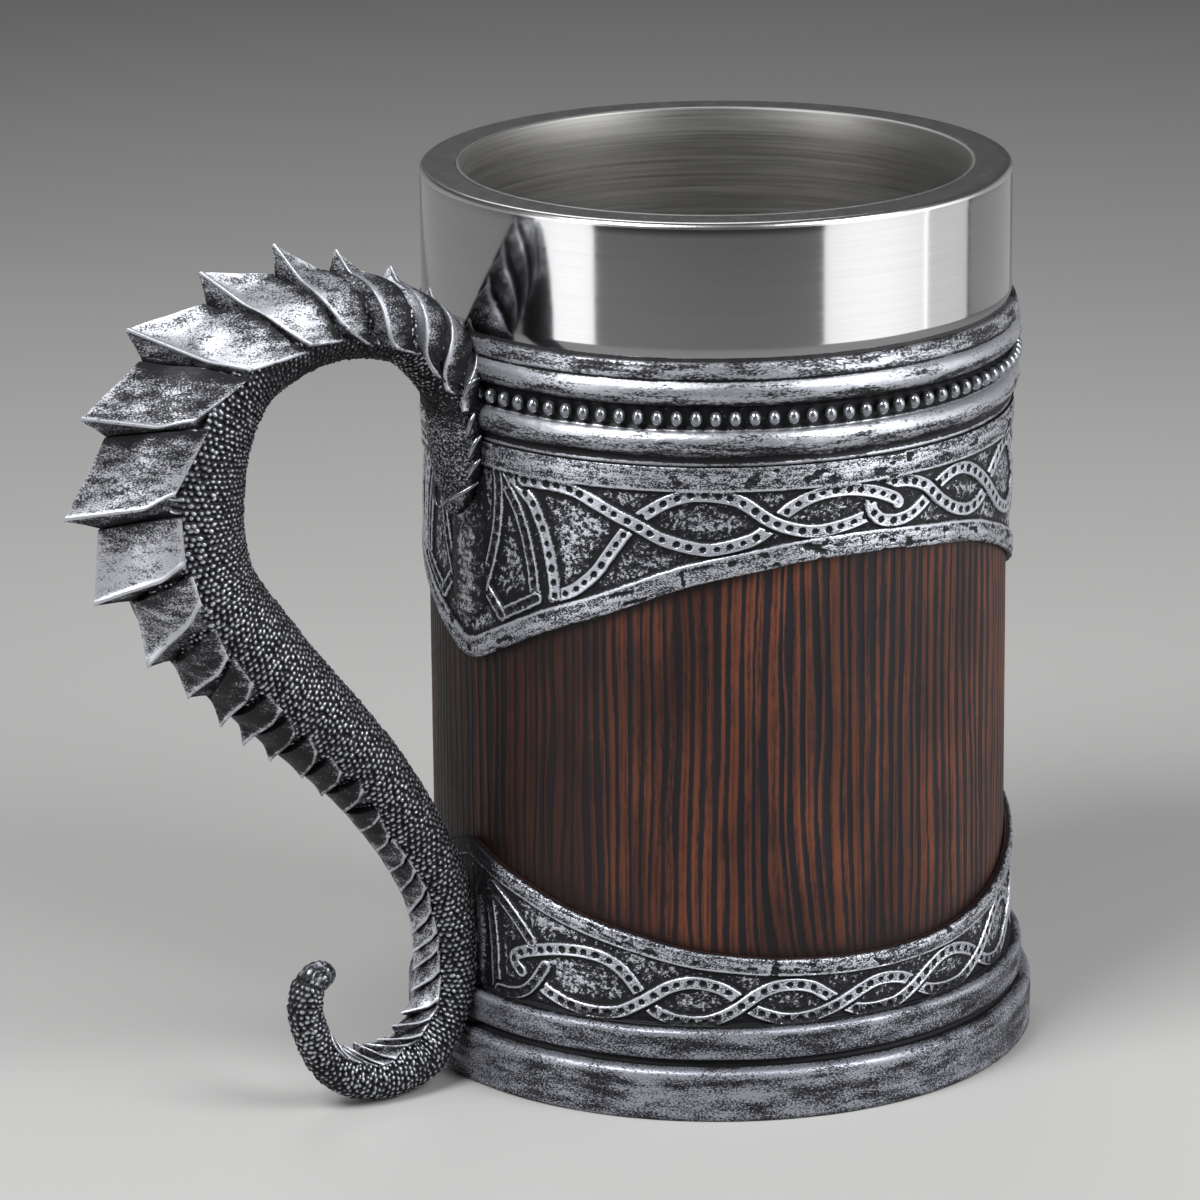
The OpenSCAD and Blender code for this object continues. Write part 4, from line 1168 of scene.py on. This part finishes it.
def tail_skin():
    step = 0.21
    cuts = [0.0, 6.3, 9.1, 11.2, 13.6, 17.0, 22.0, NR - 1.0]
    for k in range(len(cuts) - 1):
        s0, s1 = np.interp(cuts[k:k + 2], U_TAB, S_TAB)
        n = int((s1 - s0) / step) + 1
        s = np.linspace(s0, s1, n)
        if k == len(cuts) - 2:
            s = np.concatenate([s[s < S_END - 2.3], S_END - 2.3 + 2.28 * np.sin(np.linspace(0, 0.5, 15) * math.pi)])
        if k == 0:
            s = np.concatenate([1.1 - 1.08 * np.cos(np.linspace(0, 0.5, 7) * math.pi), s[s > 1.15]])
        u = np.interp(s, S_TAB, U_TAB)
        r = at(u)[:, 2]
        r = np.where(s > S_END - 2.3, r * np.sqrt(np.clip(1 - ((s - S_END + 2.3) / 2.3) ** 2, 0.01, 1)), r)
        r = np.where(s < 1.1, r * np.sqrt(np.clip(1 - ((1.1 - s) / 1.1) ** 2, 0.04, 1)), r)
        rmax = float(r.max())
        lo = 36 if cuts[k] > 10 else 62
        fine = np.linspace(lo, 360 - lo, int((360 - 2 * lo) * RAD * rmax / step) + 2)
        coarse = np.linspace(360 - lo, 360 + lo, 18)[1:-1]
        if k in (0, len(cuts) - 2):
            fine = np.linspace(0, 360, int(2 * math.pi * rmax / step) + 2)[:-1]
            coarse = np.zeros(0)
        a = np.concatenate([fine, coarse]) * RAD
        S, A = np.meshgrid(s, a, indexing="ij")
        Rr = r[:, None] * np.ones_like(A)
        dome, tone = nubs(S, A, np.interp(S, S_TAB, R_TAB))
        smoothing = smooth(S_END - 0.4, S_END - 2.6, S)
        lump = 0.28 * (fbm(S / 7.0, A * 2.2, 81, 2) - 0.5)
        Rr = Rr - 0.30 + 0.62 * dome * (0.8 + 0.4 * tone) * np.maximum(0.3, smoothing) * np.minimum(1, Rr / 1.6) + lump * np.minimum(1, Rr / 3)
        Rr = Rr - 0.42 * dome * smooth(5.6, 4.4, u)[:, None]
        Rr = Rr - 0.34 * dome * smooth(S_END - 6.4, S_END - 4.2, S)
        inner = smooth(0.35, 0.95, -np.cos(A))
        # crevices carry dark patina and the domes dry-brushed silver; the extra brightening of each dome's crown is a
        # painted highlight
        hi = lerp(-0.55, 0.34 + 0.24 * tone, smooth(0.36, 0.90, dome)) + 0.46 * smooth(0.82, 1.0, dome)
        # painted shade: darker round the top of the arch and on the tail's inner side, which faces into the handle and
        # towards the mug
        arch = np.exp(-((u - 7.6) / 1.9) ** 2)[:, None]
        hi = hi - 0.34 * arch * smooth(0.15, 0.8, dome) - 0.10 * inner
        root = smooth(5.4, 4.2, u)[:, None]
        fleck = vn(S / 0.42, A * Rr / 0.42, 86) * 0.6 + vn(S / 0.75, A * Rr / 0.6, 87) * 0.4
        # at the root, painted shade darkens the side that faces the mug, and the root grows darker towards its top
        away_ = np.abs((A / RAD + 180) % 360 - 180)
        dull = smooth(104, 74, away_)
        hi = lerp(hi, 0.40 + 0.35 * (fleck - 0.5) - 0.85 * dull - 0.25 * smooth(112, 117, at(u)[:, 1])[:, None], root)
        hi = hi + 0.22 * (fbm(S / 6, A * Rr / 6, 83, 2) - 0.5)
        # the pebbles run out into a worn, lightly pitted tip
        tip = smooth(S_END - 6.4, S_END - 4.2, S)
        worn = vn(S / 0.42, A * np.maximum(Rr, 0.8) / 0.42, 88)
        hi = lerp(hi, 0.46 + 1.5 * (worn - 0.5), 0.80 * tip)
        # under the scutes the skin lies deeper
        lip = np.interp(u, LIPS[:, 0], LIPS[:, 1], left=0, right=0)[:, None]
        away = np.abs((A / RAD + 180) % 360 - 180)
        cover = smooth(lip - 2.5, lip - 8, away) * smooth(4.3, 5.2, u)[:, None]
        Rr = Rr - 1.5 * cover * smooth(0, 6, Rr)
        c = at(u)
        t0, t1 = heading(u)
        h, sd = Rr * np.cos(A), Rr * np.sin(A)
        V = np.stack([-(c[:, 0:1] - t1[:, None] * h), sd - c[:, 3:4], c[:, 1:2] + t0[:, None] * h], -1)
        rad = np.hypot(V[..., 0], V[..., 1])
        push = np.where(rad < 47.6, 47.6 / np.maximum(rad, 1), 1)
        V[..., 0] *= push
        V[..., 1] *= push
        n, m = S.shape
        q = grid_quads(n, m, False, True)
        caps = [list(range(m)), [(n - 1) * m + j for j in range(m)][::-1]]
        ob = make(f"tail_skin_{k}", V, q[:, ::-1], M_ROOT if k == 0 else M_SKIN, extra=caps, attrs={"hi": hi}, slot="antique_silver_dark")
        if k == 0:
            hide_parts("tail_core")


tail_skin()

def clear_skin(p, gap):
    """Moves points that would dip under the skin out to gap above it."""
    q = p.reshape(-1, 3)
    R_, z_ = -q[:, 0], q[:, 2]
    idx = np.argmin((R_[:, None] - CENTRES[None, :, 0]) ** 2 + (z_[:, None] - CENTRES[None, :, 1]) ** 2, axis=1)
    c = CENTRES[idx]
    v = np.stack([R_ - c[:, 0], q[:, 1] + c[:, 3], z_ - c[:, 1]], -1)
    n = np.linalg.norm(v, axis=1)
    want = c[:, 2] + gap
    # a soft maximum keeps the face smooth where it meets the skin
    k = 0.35
    m = want + k * np.log1p(np.exp(np.clip((n - want) / k, -30, 30)))
    v = v * (m / np.maximum(n, 1e-6))[:, None]
    return np.stack([-(c[:, 0] + v[:, 0]), v[:, 1] - c[:, 3], c[:, 1] + v[:, 2]], -1).reshape(p.shape)


def scute(k):
    P = PTS[k]
    small = k > 9
    nt = (12 if small else 26) // 1
    nu = (9 if small else 20) // 1
    T, L, b, F = P["T"], P["L"], P["b"], P["F"]
    y0, y1 = (PTS[k - 1]["y"] if k else 0.0), P["y"]
    if k:
        S0, bf = PTS[k - 1]["S"], P["bf"]
    else:
        S0, bf = np.array([48.4, 126.2]), P["bf"]
    if k + 1 in PTS:
        G0, G1, gb, y2 = P["S"], PTS[k + 1]["F"], PTS[k + 1]["bf"], y1
    else:
        G0, G1, gb, y2 = P["S"], L + (F - L) * 0.3, b - 0.3, y1
    tau = np.sin(np.linspace(-1, 1, 2 * nt + 1) * math.pi / 2) * 0.35 + np.linspace(-1, 1, 2 * nt + 1) * 0.65
    w = np.abs(tau)
    pw = 1.12 if k < 10 else 1.06
    yy = np.sign(tau) * w ** pw

    def curve(A, B, half, yc, round_to=None, round_by=0.0, bow=0.0):
        p = A[None] + (B - A)[None] * w[:, None]
        if round_to is not None:
            e = smooth(0.72, 1.0, w)[:, None] * round_by
            p = p + (round_to - B)[None] * e
        d = (B - A) / (np.linalg.norm(B - A) + 1e-9)
        nrm = np.array([-d[1], d[0]])
        p = p + nrm[None] * (bow * np.sin(math.pi * w))[:, None]
        return np.stack([-p[:, 0], half * yy + yc, p[:, 1]], -1)

    size = float(np.linalg.norm(T - L))
    FC = curve(S0, F, bf, y0)
    RC = curve(T, L, b, y1, round_to=F, round_by=0.16 if k > 3 else 0.08)
    GC = curve(G0, G1, gb, y2)
    cf, cr = body_near(F), body_near(L)
    CF = np.stack([-np.full(len(w), cf[0]), np.full(len(w), -cf[3]), np.full(len(w), cf[1])], -1)
    CR = np.stack([-np.full(len(w), cr[0]), np.full(len(w), -cr[3]), np.full(len(w), cr[1])], -1)

    def sink(p, c, by):
        v = c - p
        n = np.linalg.norm(v, axis=-1, keepdims=True)
        return p + v / np.maximum(n, 1e-6) * np.minimum(by, n * 0.9)

    run = np.linalg.norm(RC - FC, axis=-1)
    rimw = np.minimum(1.15 if not small else 0.6, 0.38 * run)
    body_u = np.linspace(0, 1, nu)[None] * (1 - rimw / run)[:, None]
    rim_u = 1 - (rimw / run)[:, None] * np.array([0.8, 0.6, 0.42, 0.26, 0.12, 0.0])[None]
    uu = np.concatenate([body_u, rim_u], 1)
    top = FC[:, None] + (RC - FC)[:, None] * uu[..., None]
    # outward normal of the face
    du = np.gradient(top, axis=1)
    dt = np.gradient(top, axis=0)
    N = np.cross(du, dt)
    N /= np.linalg.norm(N, axis=-1, keepdims=True) + 1e-12
    mid = (CF + CR) / 2
    if np.sum(N * (top - mid[:, None])) < 0:
        N = -N
    dist = (1 - uu) * run[:, None]                 # distance from the free edge
    scale = min(1.0, size / 12.0)
    bead = 0.20 * scale * np.exp(-((dist - 0.38 * (0.6 + 0.4 * scale)) / (0.34 * (0.6 + 0.4 * scale))) ** 2)
    hollow = -0.55 * scale * np.sin(math.pi * np.clip(uu, 0, 1)) * np.sin(math.pi * w)[:, None]
    swell = 0.25 * scale * (fbm(uu * 3 + k * 7.3, yy[:, None] * 3 + 50, 201, 2) - 0.5)
    lipd = ((1 - w)[:, None] * size)
    liprim = 0.22 * scale * np.exp(-((lipd - 0.3) / 0.45) ** 2)
    top = top + N * (bead + hollow + swell + liprim)[..., None]
    streak = 0.07 * (vn(uu * run[:, None] / 0.5 + 31 * k, w[:, None] * size / 2.2 + 9, 205) - 0.5) * scale
    top = top + N * streak[..., None]
    top = clear_skin(top, 0.45 * (0.5 + 0.5 * scale))
    back = (RC - FC) / run[:, None]
    Nr = N[:, -1]
    thick = 0.5 * (0.5 + 0.5 * scale)
    r1 = top[:, -1] + back * 0.10 - Nr * 0.06
    r2 = top[:, -1] + back * 0.14 - Nr * thick * 0.55
    r3 = top[:, -1] - back * 0.02 - Nr * thick
    g = sink(GC, CR, 0.6)
    s1 = lerp(r3, g, 0.25) - back * 0.05
    s2 = lerp(r3, g, 0.55) - back * 0.12
    s3 = lerp(r3, g, 0.85) - back * 0.05
    d1 = sink(GC, CR, 2.0)
    d2 = lerp(sink(GC, CR, 2.4), sink(FC, CF, 2.4), 0.5)
    d3 = sink(FC, CF, 1.6)
    tail_ring = np.stack([r1, r2, r3, s1, s2, s3, g, d1, d2, d3], 1)
    ring = np.concatenate([top, tail_ring], 1)
    nm = ring.shape[1]
    # brightness
    n1 = fbm(uu * run[:, None] / 3.5 + 17 * k, yy[:, None] * size / 3.5 + 70, 211, 2)
    base = {True: 0.50, False: 0.60}[small]
    # per-scute brightness offsets, darkest on the back scutes 11 to 18: painted light and shade, set one scute at a
    # time
    dark = float(np.interp(k, [0, 3, 4, 5, 6, 7, 8, 9, 10, 11, 12, 14, 18, 21, 23, 25],
                           [-0.22, -0.18, -0.06, 0.02, 0.04, -0.30, -0.16, 0.10, -0.04, -0.36, -0.52, -0.62, -0.58, -0.38, -0.16, -0.05]))
    hi = base + dark + 0.30 * (n1 - 0.5)
    wide = float(np.interp(k, [2, 4], [2.0, 1.0]))
    edge = np.exp(-(np.maximum(dist - 0.35 * (0.5 + 0.5 * scale), 0 if k < 4 else -9) / (0.42 * wide * (0.5 + 0.5 * scale))) ** 2)
    rimw_ = float(np.interp(k, [8, 10, 19, 23], [1.0, 1.24, 1.24, 1.0]))
    floor_ = float(np.interp(k, [8, 10, 19, 23], [0.0, -0.22, -0.22, 0.0]))
    hi = np.maximum(hi, floor_) + rimw_ * (edge * 0.62 + 0.48 * np.exp(-lipd / (0.5 * wide * (0.4 + 0.6 * scale))))
    keel = np.exp(-(w[:, None] * size / 0.55) ** 2)
    hi = hi + 0.35 * keel
    front = uu * run[:, None]
    # painted shadow of the previous scute's lip across the front of each face, strong up to scute 9 and from scute 24
    # on, faint on 11 to 20
    shade_ = float(np.interp(k, [9, 11, 20, 24], [1.0, 0.12, 0.12, 0.7]))
    hi = hi - shade_ * (0.55 * np.exp(-front / (1.5 * scale + 0.2)) + 0.22 * np.exp(-front / (4.5 * scale + 0.2)))
    step_hi = 0.34 if k in (4, 5, 6) else 0.22
    if k in (0, 1, 2):
        step_hi = 0.75
    # the undersides beneath each lip are dark; on scutes 11 to 17 they are painted lighter, a painted light that
    # softens the shadow under the lips
    deep = float(np.interp(k, [9, 11, 17, 19], [-0.5, 0.30, 0.30, -0.5]))
    hring = np.stack([np.full(len(w), 1.0), np.full(len(w), 0.72), np.full(len(w), step_hi + 0.1),
                      np.full(len(w), step_hi), np.full(len(w), step_hi - 0.05), np.full(len(w), max(deep, step_hi - 0.3))] +
                     [np.full(len(w), deep)] * 4, 1)
    hring = hring + 0.25 * (fbm(w[:, None] * size / 2.5 + 5 * k, np.arange(10)[None] * 0.4, 215, 2) - 0.5)
    H = np.concatenate([hi, hring], 1)
    # round the lips over at both ends
    ends = []
    for e, sgn in ((0, -1.0), (-1, 1.0)):
        rg = ring[e].copy()
        nt_ = len(uu[0])
        rg[:nt_ + 3] += -N[e, :1].mean(0) * 0.0
        rg[:nt_] -= N[e] * 0.34 * (0.5 + 0.5 * scale)
        rg[nt_:nt_ + 3] -= Nr[e] * 0.2 * scale
        rg[:nt_ + 3, 1] += sgn * 0.10
        ends.append(rg)
    ring = np.concatenate([ends[0][None], ring, ends[1][None]], 0)
    H = np.concatenate([H[:1] - 0.35, H, H[-1:] - 0.35], 0)
    n = ring.shape[0]
    q = grid_quads(n, nm, False, True)
    caps = [list(range(nm))[::-1], [(n - 1) * nm + j for j in range(nm)]]
    V = ring.reshape(-1, 3)
    # wind the faces outwards
    a, b_, c_, d_ = (V[q[:, i]] for i in range(4))
    vol = np.sum(np.cross(b_ - a, c_ - a) * a) + np.sum(np.cross(c_ - a, d_ - a) * a)
    if vol < 0:
        q = q[:, ::-1]
        caps = [c[::-1] for c in caps]
    return V, q, caps, H


def join(name, ks, node):
    VV, QQ, CC, HH, base = [], [], [], [], 0
    for k in ks:
        V, q, caps, H = scute(k)
        VV.append(V)
        QQ.append(q + base)
        CC += [[i + base for i in c] for c in caps]
        HH.append(H.reshape(-1))
        base += len(V)
    ob = make(name, np.concatenate(VV), np.concatenate(QQ), M_SCUTE, extra=CC,
              attrs={"hi": np.concatenate(HH)}, slot="antique_silver_dark" if "back" in name else "antique_silver", sharp=48)
    if node:
        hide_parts(node)
    return ob


join("arch_scutes_near_collar", [0, 1, 2, 3], None)
join("arch_scutes_large", [4, 5, 6, 7, 8, 9], "arch_scutes")
join("back_scutes_dark", range(10, 22), "back_scutes")
join("curl_scutes_small", range(22, 36), "curl_scutes")


# thin blades where the root's side scales end against the bands
def blade(points, width, height):
    """A tapering ridge through the points, thickest in the middle."""
    p = catmull3(points, 0.2)
    n = len(p)
    t = np.linspace(0, 1, n)
    fat = np.sqrt(np.clip(np.sin(math.pi * (0.04 + 0.92 * t)), 0.02, 1))
    tan = np.gradient(p, axis=0)
    tan /= np.linalg.norm(tan, axis=1, keepdims=True)
    out = p * np.array([1, 1, 0])
    out /= np.linalg.norm(out, axis=1, keepdims=True)
    side = np.cross(tan, out)
    side /= np.linalg.norm(side, axis=1, keepdims=True)
    out = np.cross(side, tan)
    m = 10
    a = np.arange(m) * 2 * math.pi / m
    V = (p[:, None] + side[:, None] * (width * fat[:, None] * np.cos(a)[None])[..., None]
         + out[:, None] * (height * fat[:, None] * np.sin(a)[None])[..., None])
    H = 0.45 + 0.5 * np.sin(a)[None] * np.ones((n, 1))
    return V, H


def catmull3(points, step):
    p = np.array(points, float)
    ext = np.vstack([2 * p[0] - p[1], p, 2 * p[-1] - p[-2]])
    out = []
    for i in range(1, len(ext) - 2):
        a, b, c, d = ext[i - 1:i + 3]
        n = max(2, int(np.linalg.norm(c - b) / step) + 1)
        t = np.linspace(0, 1, n, endpoint=False)[:, None]
        out.append(0.5 * (2 * b + (c - a) * t + (2 * a - 5 * b + 4 * c - d) * t * t
                          + (3 * b - 3 * c + d - a) * t ** 3))
    out.append(p[-1:])
    return np.vstack(out)


BLADES = [
    ([(-50.8, -6.6, 121.2), (-52.4, -6.5, 120.6), (-53.5, -6.0, 118.0)], 0.45, 0.5),
    ([(-51.6, -6.3, 115.4), (-52.3, -6.3, 114.0), (-52.8, -5.9, 111.8)], 0.5, 0.55),
    ([(-50.6, -6.6, 111.6), (-51.8, -6.4, 110.3), (-52.6, -5.9, 108.0)], 0.45, 0.5),
    ([(-50.6, -6.3, 107.6), (-51.6, -6.0, 106.5), (-52.4, -5.3, 104.6)], 0.42, 0.5),
    ([(-50.4, -5.2, 103.4), (-52.2, -4.4, 102.2), (-54.2, -2.6, 100.6), (-54.9, -0.4, 98.9)], 0.42, 0.45)]
VV, QQ, CC, HH, base = [], [], [], [], 0
for pts, wd, ht in BLADES:
    for sgn in (1, -1):
        V, H = blade([(x, y * sgn, z) for x, y, z in pts], wd, ht)
        n, m = V.shape[:2]
        q = grid_quads(n, m, False, True)
        caps = [list(range(m))[::-1], [(n - 1) * m + j for j in range(m)]]
        W = V.reshape(-1, 3)
        a, b_, c_, d_ = (W[q[:, i]] for i in range(4))
        g0 = W.mean(0)
        vol = np.sum(np.cross(b_ - a, c_ - a) * (a - g0)) + np.sum(np.cross(c_ - a, d_ - a) * (a - g0))
        if vol < 0:
            q, caps = q[:, ::-1], [c[::-1] for c in caps]
        VV.append(W)
        QQ.append(q + base)
        CC += [[i + base for i in c] for c in caps]
        HH.append(H.reshape(-1))
        base += len(W)
make("root_scale_edges", np.concatenate(VV), np.concatenate(QQ), M_BEAD, extra=CC,
     attrs={"hi": np.concatenate(HH)}, slot="antique_silver")

# ------------------------------------------------------------------ stage
me = bpy.data.meshes.new("floor")
s = 3.2
me.from_pydata([(-s, -s, 0), (s, -s, 0), (s, s, 0), (-s, s, 0)], [], [(0, 1, 2, 3)])
floor = bpy.data.objects.new("floor", me)
scene.collection.objects.link(floor)
m, nt, b = new_mat("pale_floor")
w = Net(nt)
n = w.noise(w.coords(), 3.0, 2.0)
w.link(w.mix(n, (0.34, 0.34, 0.335), (0.37, 0.37, 0.365)), b.inputs["Base Color"])
b.inputs["Roughness"].default_value = 0.75
me.materials.append(m)


def aim(ob, target):
    d = Vector(target) - ob.location
    ob.rotation_euler = d.to_track_quat("-Z", "Y").to_euler()


CAM_AZ = -34.0       # the camera stands at this azimuth from -Y


def area(name, az, dist, z, size, power, target=(0, 0, 0.08), spread=120, color=(1, 1, 1), size_y=None):
    """An area light at azimuth az (degrees right of the camera) round the mug."""
    L = bpy.data.lights.new(name, "AREA")
    L.shape = "RECTANGLE" if size_y else "SQUARE"
    L.size = size
    if size_y:
        L.size_y = size_y
    L.energy = power
    L.color = color
    L.spread = spread * RAD
    ob = bpy.data.objects.new(name, L)
    a = (CAM_AZ + az) * RAD
    ob.location = (dist * math.sin(a), -dist * math.cos(a), z)
    scene.collection.objects.link(ob)
    aim(ob, target)
    ob.visible_camera = False
    return ob


# low panels that the polished collar mirrors
area("panel_left", -57.5, 0.46, 0.155, 0.20, 0.27, target=(0, 0, 0.155), spread=130, size_y=0.30)
area("panel_right", 62.5, 0.46, 0.155, 0.385, 0.50, target=(0, 0, 0.155), spread=130, size_y=0.30)
area("panel_right_b", 96, 0.47, 0.155, 0.21, 0.145, target=(0, 0, 0.155), spread=130, size_y=0.30)
area("panel_far_right", 134, 0.50, 0.155, 0.42, 0.075, target=(0, 0, 0.155), spread=130, size_y=0.30)
area("panel_far_left", -120, 0.50, 0.155, 0.80, 0.125, target=(0, 0, 0.155), spread=130, size_y=0.30)
# soft light from above
area("key", -44, 0.75, 0.95, 0.52, 6.0, spread=110)
area("fill", 56, 0.85, 0.80, 0.6, 4.0, spread=110)
area("back", 190, 0.80, 0.95, 0.5, 0.8, spread=110)

world = bpy.data.worlds.new("studio")
world.use_nodes = True
bg = world.node_tree.nodes["Background"]
bg.inputs[0].default_value = (0.62, 0.63, 0.65, 1)
bg.inputs[1].default_value = 0.10
scene.world = world
scene.view_settings.view_transform = "Standard"

# ----------------------------------------------------------------- camera
cam_data = bpy.data.cameras.new("camera")
cam_data.sensor_width = 36.0
cam_data.lens = 6078.5 / 1200 * 36.0
cam_data.clip_start = 0.05
cam_data.clip_end = 20
cam = bpy.data.objects.new("camera", cam_data)
scene.collection.objects.link(cam)
yaw, pitch, roll = -1.154 * RAD, 16.183 * RAD, -0.557 * RAD
fw = Vector((math.sin(yaw) * math.cos(pitch), math.cos(yaw) * math.cos(pitch), -math.sin(pitch)))
rt = Vector((math.cos(yaw), -math.sin(yaw), 0))
up = rt.cross(fw)
rt2 = math.cos(roll) * rt + math.sin(roll) * up
up2 = -math.sin(roll) * rt + math.cos(roll) * up
Rz = Matrix.Rotation(CAM_AZ * RAD, 3, "Z")
X, Y, Zb = Rz @ rt2, Rz @ up2, Rz @ (-fw)
loc = Rz @ Vector((0, -0.9883, 0.3608))
cam.matrix_world = Matrix(((X.x, Y.x, Zb.x, loc.x), (X.y, Y.y, Zb.y, loc.y), (X.z, Y.z, Zb.z, loc.z), (0, 0, 0, 1)))
scene.camera = cam
